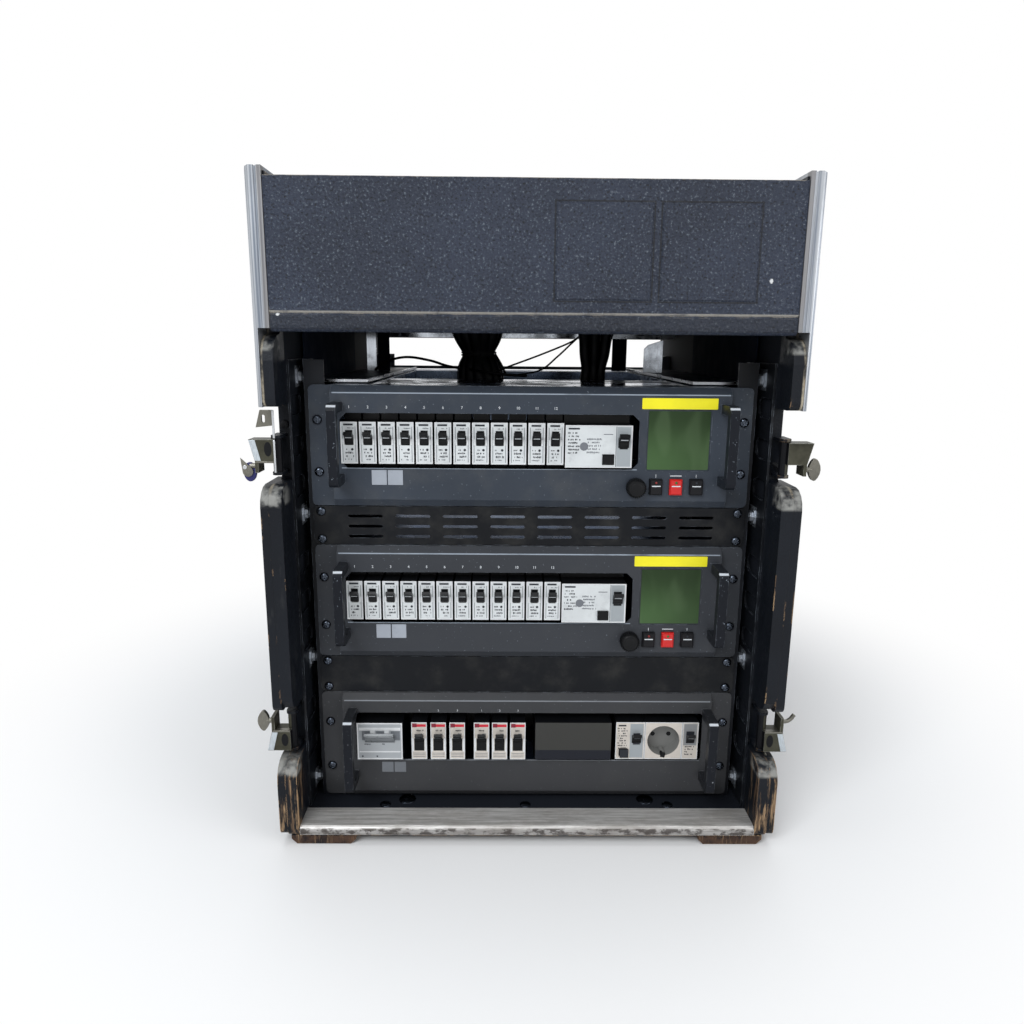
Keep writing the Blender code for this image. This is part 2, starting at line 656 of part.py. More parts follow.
def button(name, x0, x1, z0, z1, front, mat, flange=0.0):
    """Push button with chamfered cap, stem and, where it has one, the stop flange behind the front."""
    c = 1.2
    outline = rect(x0, x1, z0, z1)
    cap = prism(outline, "Y", front + c, front + 7.5)
    centre = ((x0 + x1) / 2.0, (z0 + z1) / 2.0)
    crown = prism(outline, "Y", front, front + c + 0.5)
    for v in crown.verts:
        if v.co.y < front + 0.1:
            v.co.x = centre[0] + (v.co.x - centre[0]) * (1.0 - 2.0 * c / (x1 - x0))
            v.co.z = centre[1] + (v.co.z - centre[1]) * (1.0 - 2.0 * c / (z1 - z0))
    add = [crown]
    if flange:
        add.append(block(x0 - flange, x1 + flange, BODY_Y + BODY_WALL + GAP, BODY_Y + BODY_WALL + 2.0, z0 - flange,
                         z1 + flange))
        add.append(block(centre[0] - 3.0, centre[0] + 3.0, BODY_Y + 3.0, BODY_Y + 12.0, centre[1] - 3.0,
                         centre[1] + 3.0))
    make(name, cap, mat, add=add, origin=(centre[0], front + 7.0, centre[1]))


def encoder(name, x, z):
    """Turned knob with a waisted rim, on its shaft."""
    grip = turned([(2.8, -10.0), (2.8, 0.4), (8.8, 0.4), (10.4, 1.8), (10.4, 5.0), (9.6, 12.8),
                   (8.2, 14.2)], 16, "Y")
    bmesh.ops.scale(grip, vec=(1.0, -1.0, 1.0), verts=grip.verts)
    bmesh.ops.recalc_face_normals(grip, faces=grip.faces)
    make(name, moved(grip, x, BODY_Y, z), LEVER_BLACK, origin=(x, BODY_Y, z), smooth=35.0)


def dimmer_unit(number, top, loose):
    """One dimmer: front, chassis, breaker row, knob and three keys, with loose levers on the first."""
    prefix = f"dimmer_{number}_"
    keys = ((130.4, 144.3), (152.4, 166.1), (174.5, 188.8))
    z0, z1 = top - 117.0, top - 99.6
    holes = [prism(rect(x0 - GAP, x1 + GAP, z0 - GAP, z1 + GAP), "Y", BODY_Y - 2.0, BODY_Y + 4.0)
             for x0, x1 in keys]
    holes.append(moved(turned([(3.2, -2.0), (3.2, 4.0)], 8, "Y"), 115.0, BODY_Y, top - 108.6))
    holes.append(prism(rect(125.5, 195.5, top - 90.9, top - 24.0, 2.0, 45.0), "Y", BODY_Y - 2.0, BODY_Y + 1.1))
    handles = ((-212.8, -203.0, -106.0, -17.7), (204.5, 214.5, -106.0, -17.7))
    unit_front(prefix + "faceplate", top, BLUE_GREY, (-206.8, 117.1, -89.6, -29.8), 7.0, handles, holes)
    chassis(prefix + "chassis", top, 300.0 if loose else CHASSIS_REAR, well=loose)
    dimmer_row(prefix + "breaker_row", top, loose)
    encoder(prefix + "encoder", 115.0, top - 108.6)
    for i, (x0, x1) in enumerate(keys):
        mat = KEY_RED if i == 1 else KEY_BLACK
        button(prefix + f"key_{i + 1}", x0, x1, z0, z1, BODY_Y - 4.5, mat, flange=1.2)
    if loose:
        pivot = top - 61.4 + 3.0
        for i in range(BREAKERS):
            lever(prefix + f"lever_{i + 1:02d}", *breaker_lever_span(i), pivot, LEVER_BLACK)
        lever(prefix + "rcd_lever", *RCD_LEVER, top - 61.4 + 1.5, LEVER_BLACK, 16.0)
        button(prefix + "rcd_test_button", 77.4, 89.8, top - 83.3, top - 72.3, NOSE_Y - 2.0, LEVER_BLACK)


def power_unit():
    handles = ((-209.0, -199.3, -107.0, -17.0), (205.0, 215.0, -107.0, -17.0))
    unit_front("power_faceplate", UNIT3, WARM_GREY, (-201.5, 206.2, -83.9, -23.2), 3.0, handles, [])
    chassis("power_chassis", UNIT3, CHASSIS_REAR)
    power_row()
    pivot = UNIT3 - 56.5 + 3.0
    lever("power_main_lever", *MAIN_LEVER, pivot, BREAKER_WHITE, 16.0)
    for i, x in enumerate(POWER_BREAKERS):
        lever(f"power_lever_{i + 1}", x + 4.5, x + 13.5, pivot, LEVER_BLACK)
    lever("power_rcd_lever", *POWER_RCD_LEVER, pivot, LEVER_BLACK)


# Latches
def latch(name, side, down, z0, z1):
    """Latch arm on its upright pin, swung outward, and the butterfly wing on the arm's end."""
    px, py = LATCH_PIVOT_X, LATCH_PIVOT_Y
    top, mid, low = (z1, z1 - 23.0, z0) if down else (z0, z0 + 23.0, z1)
    profile = [
        (px, top), (294.5, top), (288.8, mid), (288.8, low), (285.4, low), (285.4, mid), (px, mid),
    ]
    plate = prism([(side * x, z) for x, z in profile], "Y", py - 12.0, py + 8.0)
    barrel = moved(turned([(5.0, z0), (5.0, z1)], 12, "Z"), side * px, py, 0.0)
    make(name + "_arm", barrel, ZINC, add=[plate], origin=(side * px, py, (z0 + z1) / 2.0))
    wz = (low + mid) / 2.0
    lobes = []
    for i in range(16):
        a = 2.0 * math.pi * i / 16.0
        lobes.append(((5.6 + 0.8 * math.cos(2.0 * a)) * math.cos(a), 12.0 * math.sin(a)))
    wing = prism([(side * (WING_X + u), wz + v) for u, v in lobes], "Y", py - 4.5, py + 0.5)
    stem = moved(turned([(3.0, 289.1), (3.0, 297.0)], 10, "X"), 0.0, py - 2.0, wz)
    bmesh.ops.scale(stem, vec=(side, 1.0, 1.0), verts=stem.verts)
    bmesh.ops.recalc_face_normals(stem, faces=stem.faces)
    make(name + "_wing", wing, ZINC, add=[stem], origin=(side * WING_X, py - 2.0, wz))


# Cable looms
def loom(name, stations, lobes=7):
    """Bundle of cables drawn in at its tie: a lobed section lofted along the bundle, with a slow lay
    twist. Stations are (x, y, z, radius)."""
    bm = bmesh.new()
    rings = []
    steps = lobes * 4
    for k, (x, y, z, radius) in enumerate(stations):
        twist = 0.5 * k / (len(stations) - 1)
        ring = []
        for i in range(steps):
            a = 2.0 * math.pi * i / steps
            r = radius * (0.86 + 0.14 * abs(math.cos(lobes * a / 2.0)))
            ring.append(bm.verts.new((x + r * math.cos(a + twist), y + 0.78 * r * math.sin(a + twist), z)))
        rings.append(ring)
    for low, high in zip(rings, rings[1:]):
        for i in range(steps):
            j = (i + 1) % steps
            bm.faces.new((low[i], low[j], high[j], high[i]))
    bm.faces.new(rings[0])
    bm.faces.new(rings[-1])
    bmesh.ops.recalc_face_normals(bm, faces=bm.faces)
    make(name, bm, CABLE_GREY, smooth=50.0)


def loom_stations(xs, radii):
    """Smooth spine from the box floor, past the tie, to the well's floor. xs and radii hold the value
    at the box, at the tie and in the well."""
    top, tie, bottom = BOX_FLOOR - GAP, 545.0, UNIT1 - 118.0 + GAP
    stations = []
    for k in range(10):
        z = top + (bottom - top) * k / 9.0
        if z > tie:
            t, a, b = (top - z) / (top - tie), 0, 1
        else:
            t, a, b = min(1.0, (tie - z) / 45.0), 1, 2
        ease = t * t * (3.0 - 2.0 * t)
        x = xs[a] + (xs[b] - xs[a]) * ease
        radius = radii[a] + (radii[b] - radii[a]) * ease
        stations.append((x, -58.0, z, radius))
    return stations


# The object
RCD_LEVER = (94.4, 105.4)
MAIN_LEVER = (-190.0, -156.0)
POWER_RCD_LEVER = (123.5, 133.5)
SOCKET = (160.3, UNIT3 - 55.5)
LATCH_SPANS = (("lower", 106.0, 147.0), ("upper", 424.0, 459.0))


def build():
    for obj in list(bpy.data.objects):
        bpy.data.objects.remove(obj, do_unlink=True)
    for word, side in (("left", -1.0), ("right", 1.0)):
        side_wall(word + "_wall", side)
        edge_profile(word + "_edge_profile", side)
        for place, z0, z1 in LATCH_SPANS:
            latch(f"latch_{word}_{place}", side, place == "upper", z0, z1)
    floor_board()
    front_sill()
    connection_box()
    front_fascia()
    rack_frame()
    thin_panel("vent_panel", VENT, True)
    thin_panel("blank_panel", BLANK, False)
    dimmer_unit(1, UNIT1, True)
    dimmer_unit(2, UNIT2, False)
    power_unit()
    loom("left_loom", loom_stations((-66.0, -64.0, -61.0), (36.0, 23.0, 31.0)))
    loom("right_loom", loom_stations((90.0, 92.0, 92.0), (30.0, 21.0, 23.0)))


build()
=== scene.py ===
"""Looks for the dimmer rack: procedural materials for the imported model, and the small pieces on it.
Lengths are millimetres in the model's own frame unless a comment says metres: +Z up, the front faces -Y."""

import math
import random

import bmesh
import bpy
from mathutils import Matrix, Vector


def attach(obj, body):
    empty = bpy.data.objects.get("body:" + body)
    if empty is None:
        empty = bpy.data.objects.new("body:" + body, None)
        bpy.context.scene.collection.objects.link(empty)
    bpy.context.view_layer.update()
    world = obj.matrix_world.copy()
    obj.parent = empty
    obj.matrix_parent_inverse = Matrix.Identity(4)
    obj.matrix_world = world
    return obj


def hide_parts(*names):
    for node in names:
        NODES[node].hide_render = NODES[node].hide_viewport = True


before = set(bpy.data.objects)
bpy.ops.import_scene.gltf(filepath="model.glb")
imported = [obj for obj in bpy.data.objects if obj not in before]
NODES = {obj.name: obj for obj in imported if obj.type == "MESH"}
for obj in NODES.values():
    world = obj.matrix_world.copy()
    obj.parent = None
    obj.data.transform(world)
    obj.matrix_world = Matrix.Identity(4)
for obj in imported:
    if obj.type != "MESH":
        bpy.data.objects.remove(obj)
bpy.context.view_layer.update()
MM = 0.001
random.seed(11)

# top edges of the five panels, and heights that the pieces share
UNIT1, VENT, UNIT2, BLANK, UNIT3 = 514.0, 380.65, 336.2, 202.85, 158.4
FLOOR_TOP = 21.0
BOX_FLOOR = 583.6
BOLT_HEIGHTS = (42.0, 197.0, 369.0, 521.8)

# front faces from the rear one to the foremost, and the levers' pivot
EAR_Y, BODY_Y, NOSE_Y = -275.0, -283.0, -288.0
PIVOT_Y = NOSE_Y + 3.5
LEVER_ANGLE = math.radians(35.0)

# middles of the breakers, which are 18 mm wide, of the rack screws, the dimmers' residual current levers
# and their knobs
BREAKER_X = [-196.2 + 20.2 * i for i in range(12)]
POWER_X = [-126.8, -104.4, -82.2, -53.7, -32.5, -11.2]
SCREW_X = 232.55
RCD_X = 99.9
KNOB_X = 115.0
BOTH = (-1.0, 1.0)
EVEN, ALONG_Z = (1.0, 1.0, 1.0), (1.0, 1.0, 0.3)

PLACE = {
    "X": lambda u, v, w: Vector((w, u, v)),
    "Y": lambda u, v, w: Vector((u, w, v)),
    "Z": lambda u, v, w: Vector((u, v, w)),
}


# forms in millimetres
def prism(outline, axis, start, end, bevel=0.0, segments=1):
    """An outline carried along one axis, with its sharp edges bevelled."""
    bm = bmesh.new()
    place = PLACE[axis]
    face = bm.faces.new([bm.verts.new(place(u, v, start)) for u, v in outline])
    top = bmesh.ops.extrude_face_region(bm, geom=[face])["geom"]
    shift = place(0.0, 0.0, end - start)
    bmesh.ops.translate(bm, verts=[v for v in top if isinstance(v, bmesh.types.BMVert)], vec=shift)
    bmesh.ops.recalc_face_normals(bm, faces=bm.faces)
    if bevel:
        sharp = [e for e in bm.edges if e.calc_face_angle(0.0) > 0.6]
        bmesh.ops.bevel(bm, geom=sharp, offset=bevel, segments=segments, profile=0.5, affect="EDGES",
                        clamp_overlap=True)
    return bm


def block(x0, x1, y0, y1, z0, z1, bevel=0.0):
    return prism([(x0, y0), (x1, y0), (x1, y1), (x0, y1)], "Z", z0, z1, bevel)


def mark(x0, x1, z0, z1, out=0.12):
    """A thin field on the breakers' noses."""
    return block(x0, x1, NOSE_Y - out, NOSE_Y + 0.02, z0, z1)


def dot(x, z, radius, sides, out=0.12):
    """A round field on the breakers' noses."""
    return prism(disc(x, z, radius, sides), "Y", NOSE_Y - out, NOSE_Y + 0.02)


def rounded(u0, u1, v0, v1, radius, parts=4):
    outline = []
    for cu, cv, start in ((u1 - radius, v1 - radius, 0), (u0 + radius, v1 - radius, 90),
                          (u0 + radius, v0 + radius, 180), (u1 - radius, v0 + radius, 270)):
        for k in range(parts + 1):
            a = math.radians(start + 90.0 * k / parts)
            outline.append((cu + radius * math.cos(a), cv + radius * math.sin(a)))
    return outline


def oval(u, v, wide, tall, sides):
    angles = [2.0 * math.pi * i / sides for i in range(sides)]
    return [(u + wide * math.cos(a), v + tall * math.sin(a)) for a in angles]


def disc(u, v, radius, sides):
    return oval(u, v, radius, radius, sides)


def skinned(rings, capped=True):
    """Walls between neighbouring rings of points, with a cap at each end or else a wall back to the first."""
    bm = bmesh.new()
    rings = [[bm.verts.new(p) for p in ring] for ring in rings]
    for low, high in zip(rings, rings[1:] if capped else rings[1:] + rings[:1]):
        for corners in zip(low, low[1:] + low[:1], high[1:] + high[:1], high):
            bm.faces.new(corners)
    if capped:
        bm.faces.new(rings[0])
        bm.faces.new(rings[-1])
    bmesh.ops.recalc_face_normals(bm, faces=bm.faces)
    return bm


def turned(profile, sides, axis="Y", at=(0.0, 0.0, 0.0)):
    """A form of revolution from (radius, height) points, with its foot at a given spot."""
    place, spot = PLACE[axis], Vector(at)
    return skinned([[place(u, v, height) + spot for u, v in disc(0.0, 0.0, radius, sides)]
                    for radius, height in profile])


def spline(points, parts=5):
    """Catmull-Rom curve through the points."""
    pts = [Vector(p) for p in points]
    pts = [2 * pts[0] - pts[1], *pts, 2 * pts[-1] - pts[-2]]
    out = []
    for a, b, c, d in zip(pts, pts[1:], pts[2:], pts[3:]):
        for k in range(parts):
            t = k / parts
            out.append(0.5 * ((2 * b) + (c - a) * t + (2 * a - 5 * b + 4 * c - d) * t * t
                              + (3 * b - a - 3 * c + d) * t * t * t))
    out.append(pts[-2])
    return out


def tube(points, radius, sides=10):
    """Round tube along the points, with flat ends. Its rings keep their turn from one point to the next."""
    pts = [Vector(p) for p in points]
    angles = [2.0 * math.pi * k / sides for k in range(sides)]
    side = Vector((1.0, 0.0, 0.0))
    rings = []
    for i, p in enumerate(pts):
        along = (pts[min(i + 1, len(pts) - 1)] - pts[max(i - 1, 0)]).normalized()
        side = side - along * side.dot(along)
        if side.length < 0.05:
            side = along.orthogonal()
        side.normalize()
        up = along.cross(side)
        rings.append([p + (side * math.cos(a) + up * math.sin(a)) * radius for a in angles])
    return skinned(rings)


def turn(bm, angle, axis, about=(0.0, 0.0, 0.0)):
    bmesh.ops.rotate(bm, cent=about, matrix=Matrix.Rotation(math.radians(angle), 3, axis), verts=bm.verts)
    return bm


def moved(bm, x=0.0, y=0.0, z=0.0):
    bmesh.ops.translate(bm, verts=bm.verts, vec=(x, y, z))
    return bm


def scaled(bm, factor):
    bmesh.ops.scale(bm, vec=(factor, factor, factor), verts=bm.verts)
    return bm


def merge(forms):
    bm = bmesh.new()
    for form in forms:
        mesh = bpy.data.meshes.new("form")
        form.to_mesh(mesh)
        form.free()
        bm.from_mesh(mesh)
        bpy.data.meshes.remove(mesh)
    return bm


def linked(name, data):
    obj = bpy.data.objects.new(name, data)
    bpy.context.scene.collection.objects.link(obj)
    return obj


def to_object(name, bm):
    """A form as an object in metres."""
    mesh = bpy.data.meshes.new(name)
    scaled(bm, MM).to_mesh(mesh)
    bm.free()
    return linked(name, mesh)


def settled(obj):
    """The form that a text or a modifier gives, in place of its object."""
    bpy.context.view_layer.update()
    mesh = bpy.data.meshes.new_from_object(obj.evaluated_get(bpy.context.evaluated_depsgraph_get()))
    bm = bmesh.new()
    bm.from_mesh(mesh)
    bpy.data.objects.remove(obj)
    bpy.data.meshes.remove(mesh)
    return bm


def carved(base, cutter):
    """The base form with the cutter taken out of it."""
    obj, tool = to_object("base", base), to_object("cutter", cutter)
    cut = obj.modifiers.new("cut", "BOOLEAN")
    cut.operation, cut.solver, cut.object = "DIFFERENCE", "EXACT", tool
    bm = scaled(settled(obj), 1.0 / MM)
    bpy.data.objects.remove(tool)
    return bm


def piece(name, body, forms, look, smooth=None, replaces=()):
    """Joins the forms to one visible piece that rides on a CAD body."""
    obj = to_object(name, merge(forms))
    obj.data.materials.append(LOOKS[look])
    if smooth:
        obj.data.shade_smooth()
        obj.data.set_sharp_from_angle(angle=math.radians(smooth))
    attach(obj, body)
    if replaces:
        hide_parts(*replaces)


def pieces(*rows):
    """Flat-shaded pieces on the case, from (name, look, forms) rows."""
    for name, look, forms in rows:
        piece(name, "case", forms, look)


def figures(name, words, height):
    """Plain numbers standing on the faceplates. words holds (text, x, z)."""
    forms = []
    for text, x, z in words:
        curve = bpy.data.curves.new("figure", "FONT")
        curve.body = text
        curve.align_x, curve.align_y = "CENTER", "CENTER"
        curve.size = height * 1.38
        curve.extrude = 0.06
        curve.offset = height * 0.012
        bm = settled(linked("figure", curve))
        bmesh.ops.remove_doubles(bm, verts=bm.verts, dist=0.0001)
        forms.append(moved(turn(bm, 90.0, "X"), x, BODY_Y - 0.05, z))
    piece(name, "case", forms, "white")


# materials
def srgb(r, g, b):
    out = []
    for c in (r, g, b):
        c /= 255.0
        out.append(c / 12.92 if c <= 0.04045 else ((c + 0.055) / 1.055) ** 2.4)
    return tuple(out)


def shade(colour, factor):
    return tuple(min(1.0, c * factor) for c in colour)


class Nodes:
    """A node tree, and short ways to add to it."""

    def __init__(self, tree):
        self.tree = tree

    def put(self, socket, value):
        """Links a socket or sets a value. A colour is given without its alpha."""
        if isinstance(value, bpy.types.NodeSocket):
            self.tree.links.new(value, socket)
        elif isinstance(value, tuple) and len(socket.default_value) == 4:
            socket.default_value = (*value, 1.0)
        else:
            socket.default_value = value

    def node(self, kind, inputs, output, **settings):
        """Adds a node, fills its inputs, and gives one of its outputs."""
        node = self.tree.nodes.new("ShaderNode" + kind)
        for key, value in settings.items():
            setattr(node, key, value)
        for key, value in inputs.items():
            self.put(node.inputs[key], value)
        return node.outputs[output]

    def calc(self, operation, *values):
        return self.node("Math", dict(enumerate(values)), 0, operation=operation)

    def chain(self, operation, masks):
        total = masks[0]
        for mask in masks[1:]:
            total = self.calc(operation, total, mask)
        return total

    def times(self, *masks):
        return self.chain("MULTIPLY", masks)

    def any_of(self, *masks):
        return self.chain("MAXIMUM", masks)

    def outside(self, mask):
        return self.calc("SUBTRACT", 1.0, mask)

    def ramp(self, value, low, high, a=0.0, b=1.0):
        """A soft step from a, where the value is low, to b, where it is high."""
        inputs = {"Value": value, "From Min": low, "From Max": high, "To Min": a, "To Max": b}
        return self.node("MapRange", inputs, "Result", interpolation_type="SMOOTHSTEP")

    def mix(self, mask, a, b):
        return self.node("Mix", {"Factor": mask, 6: a, 7: b}, 2, data_type="RGBA")

    def ray(self, *kinds):
        """1 for the kinds of ray that are named."""
        return self.any_of(*(self.node("LightPath", {}, f"Is {kind} Ray") for kind in kinds))


class Look(Nodes):
    """One procedural material, built in the object's own coordinates, in metres."""

    def __init__(self, name, roughness=0.5, metallic=0.0, specular=0.5):
        self.mat = bpy.data.materials.new(name)
        self.mat.use_nodes = True
        super().__init__(self.mat.node_tree)
        self.shader = self.tree.nodes["Principled BSDF"]
        self.set("Roughness", roughness)
        self.set("Metallic", metallic)
        self.set("Specular IOR Level", specular)
        self.place = self.node("TexCoord", {}, "Object")
        self.colour = None

    def set(self, key, value):
        self.put(self.shader.inputs[key], value)

    def base(self, mask, low, high):
        """Starts the colour: low where the mask is 0, high where it is 1."""
        self.colour = self.mix(mask, low, high)

    def layer(self, mask, colour, share=None):
        """Lays a colour over what is there so far."""
        self.colour = self.mix(self.times(mask, share) if share else mask, self.colour, colour)

    def finish(self, roughness=None):
        self.set("Base Color", self.colour)
        if roughness:
            self.set("Roughness", roughness)
        return self.mat

    def at(self, stretch):
        return self.node("Mapping", {"Vector": self.place, "Scale": stretch}, "Vector")

    def noise(self, scale, detail=3.0, rough=0.55, stretch=EVEN):
        inputs = {"Vector": self.at(stretch), "Scale": scale, "Detail": detail, "Roughness": rough}
        return self.node("TexNoise", inputs, "Fac")

    def patches(self, scale, low=0.3, high=0.7, a=0.0, b=1.0, detail=4.0, rough=0.55, stretch=EVEN):
        """Cloudy patches: a where the noise is low, b where it is high."""
        return self.ramp(self.noise(scale, detail, rough, stretch), low, high, a, b)

    def sheen(self, low, high, scale=45.0):
        """Roughness that wanders between two values."""
        return self.patches(scale, 0.3, 0.7, low, high, detail=3.0)

    def cells(self, scale, feature="SMOOTH_F1"):
        inputs = {"Vector": self.at(EVEN), "Scale": scale}
        return self.node("TexVoronoi", inputs, "Distance", feature=feature)

    def axis(self, which, vector=None):
        """One coordinate, 0 to 2, of the place or of another vector."""
        return self.node("SeparateXYZ", {0: vector or self.place}, which)

    def near(self, spot, radius):
        """1 inside a ball round a spot given in millimetres, with a ragged rim."""
        away = self.node("VectorMath", {0: self.place, 1: Vector(spot) * MM}, "Value", operation="DISTANCE")
        ragged = self.patches(420.0, 0.3, 0.7, -1.0, 1.0, detail=3.0)
        rim = self.calc("MULTIPLY_ADD", ragged, 0.35 * radius * MM, away)
        return self.ramp(rim, radius * MM, 0.6 * radius * MM)

    def within(self, soft=0.3, **spans):
        """1 inside a box given in millimetres as x, y and z spans, fading over soft millimetres."""
        sides = []
        for letter, (low, high) in spans.items():
            value = self.axis("xyz".index(letter))
            sides.append(self.times(self.ramp(value, (low - soft) * MM, (low + soft) * MM),
                                    self.ramp(value, (high - soft) * MM, (high + soft) * MM, 1.0, 0.0)))
        return self.times(*sides)

    def normal(self):
        return self.node("NewGeometry", {}, "Normal")

    def edges(self, radius, low=0.01, high=0.16):
        """1 along the edges of the form, 0 on its flats."""
        soft = self.node("Bevel", {"Radius": radius * MM}, "Normal", samples=6)
        same = self.node("VectorMath", {0: soft, 1: self.normal()}, "Value", operation="DOT_PRODUCT")
        return self.ramp(self.outside(same), low, high)

    def bump(self, height, distance, strength=0.6, soften=0.5):
        inputs = {"Height": height, "Distance": distance * MM, "Strength": strength}
        if soften:
            inputs["Normal"] = self.node("Bevel", {"Radius": soften * MM}, "Normal", samples=4)
        self.set("Normal", self.node("Bump", inputs, "Normal"))


DUST = srgb(112, 110, 104)
BOX_GREY = srgb(150, 156, 160)


def painted(name, base, worn, grain, roughness, wear, depth=0.05, dust=0.0, specular=0.2):
    """Painted metal: cloudy tone, fine grain, and paint rubbed through along the edges."""
    look = Look(name, roughness, specular=specular)
    look.base(look.patches(7.0), shade(base, 0.86), shade(base, 1.14))
    if dust:
        look.layer(look.patches(26.0, 0.45, 0.75, detail=5.0, rough=0.6), DUST, dust)
    patchy = look.patches(70.0, 0.62 - wear * 0.4, 0.72 - wear * 0.25, rough=0.65)
    look.layer(look.times(look.edges(1.0), patchy), worn)
    look.bump(look.noise(grain, 2.0, 0.5), depth)
    return look.finish(look.sheen(roughness - 0.07, roughness + 0.09))


def structure_paint():
    """Coarse leathery structure paint: lumps lightened as painted highlight, pits darkened as painted shade,
    a worn pale line over the lower lip, painted shade as dark outlines round the two raised squares, and a
    band of painted shade under the box floor."""
    look = Look("structure paint", 0.4, specular=0.3)
    height = look.axis(2)
    lumps = look.noise(430.0, 4.0, 0.65)
    look.base(look.patches(5.0, rough=0.6), srgb(31, 38, 53), srgb(44, 52, 69))
    # pits darkened and lumps lightened: painted shade and painted highlight on the grain
    look.layer(look.ramp(lumps, 0.44, 0.34), srgb(15, 17, 22))
    look.layer(look.ramp(lumps, 0.56, 0.7), srgb(92, 100, 110))
    ends = look.any_of(look.ramp(height, 0.592, 0.590), look.ramp(height, 0.7075, 0.709))
    rubbed = look.times(look.edges(1.6), look.patches(60.0, 0.46, 0.6, rough=0.7), ends)
    look.layer(rubbed, srgb(150, 142, 128))
    line = look.ramp(look.calc("ABSOLUTE", look.calc("SUBTRACT", height, 0.5868)), 0.0017, 0.0005)
    broken = look.patches(26.0, 0.3, 0.5, rough=0.6, stretch=(1.0, 1.0, 0.2))
    look.layer(look.times(line, broken), srgb(158, 154, 146), 0.8)
    # painted shade: dark outlines just outside the two raised squares
    z0, z1 = 599.0, 691.0
    for x0, x1 in ((18.6, 113.0), (120.3, 216.2)):
        wide = look.within(x=(x0 - 1.1, x1 + 1.1), z=(z0 - 1.1, z1 + 1.1), y=(-341.0, -337.0))
        inner = look.within(x=(x0 + 0.6, x1 - 0.6), z=(z0 + 0.6, z1 - 0.6))
        look.layer(look.times(wide, look.outside(inner)), srgb(11, 13, 18), 0.75)
    # painted shade: a darker band from 570 to 584 mm, under the box floor
    look.layer(look.within(0.6, z=(570.0, 584.0)), srgb(18, 20, 25), 0.45)
    for chip, radius in (((229.5, -339.0, 620.0), 2.6), ((-251.0, -339.0, 584.0), 2.0)):
        look.layer(look.near(chip, radius), srgb(214, 216, 218))
    rise = look.calc("ADD", look.times(look.cells(330.0, "F1"), -0.5), look.times(lumps, 1.4))
    look.bump(rise, 1.5, 0.9, 0.6)
    return look.finish(look.ramp(lumps, 0.35, 0.65, 0.52, 0.3))


def ply():
    """Black-coated birch plywood: rubbed to bare layers on its front edges, most of all at the foot, with
    bright caps where the lugs end, which are worn paint with a painted highlight on them."""
    look = Look("coated plywood", 0.5, specular=0.18)
    height = look.axis(2)
    look.base(look.patches(6.0), srgb(11, 14, 20), srgb(18, 22, 29))
    inside = look.within(1.0, x=(-259.0, 259.0), y=(-300.0, 330.0))
    look.layer(inside, srgb(19, 23, 31), 0.7)
    layers = look.patches(60.0, 0.4, 0.6, detail=3.0, rough=0.6, stretch=(12.0, 1.0, 0.3))
    wood = look.mix(layers, srgb(176, 146, 112), srgb(92, 72, 56))
    foot = look.ramp(height, 0.12, 0.07)
    front = look.ramp(look.axis(1), -0.30, -0.332)
    patchy = look.noise(38.0, 5.0, 0.7, (1.0, 1.0, 0.4))
    rubbed = look.calc("GREATER_THAN", patchy, look.ramp(foot, 0.0, 1.0, 0.57, 0.47))
    rim = look.times(look.edges(2.2, 0.004, 0.1), rubbed, front)
    streak = look.patches(150.0, 0.5, 0.62, rough=0.7, stretch=(1.0, 1.0, 0.12))
    worn = look.any_of(rim, look.times(front, foot, streak, 0.75))
    look.layer(worn, wood)
    # bright caps where the lugs end: worn paint with a painted highlight
    spans = ((550.0, 570.0), (392.0, 414.0), (86.0, 102.0))
    lugs = look.any_of(*(look.within(2.0, z=span) for span in spans))
    look.layer(look.times(lugs, front, look.patches(45.0, 0.4, 0.6)), srgb(158, 158, 154), 0.7)
    skid = look.times(look.ramp(height, 0.0108, 0.0098), look.patches(50.0, 0.35, 0.6))
    look.layer(skid, srgb(84, 62, 48), 0.75)
    sides = look.any_of(look.within(0.7, x=(-272.0, -268.2)), look.within(0.7, x=(268.2, 272.0)))
    ragged = look.patches(34.0, 0.36, 0.52, detail=5.0, rough=0.7, stretch=(1.0, 1.0, 0.35))
    look.layer(look.times(sides, front, ragged, look.ramp(height, 0.40, 0.42)), srgb(176, 166, 146), 0.8)
    scuff = look.patches(18.0, 0.6, 0.74, detail=5.0, rough=0.7, stretch=ALONG_Z)
    look.layer(look.times(scuff, look.outside(inside)), srgb(96, 96, 94), 0.2)
    fine = look.calc("ADD", look.noise(500.0, 2.0), look.times(look.cells(260.0), -0.5))
    look.bump(look.calc("SUBTRACT", fine, look.times(worn, 1.5)), 0.35, 0.7, 1.2)
    plain = look.patches(30.0, 0.3, 0.7, 0.36, 0.56)
    return look.finish(look.any_of(plain, look.times(inside, 0.8)))


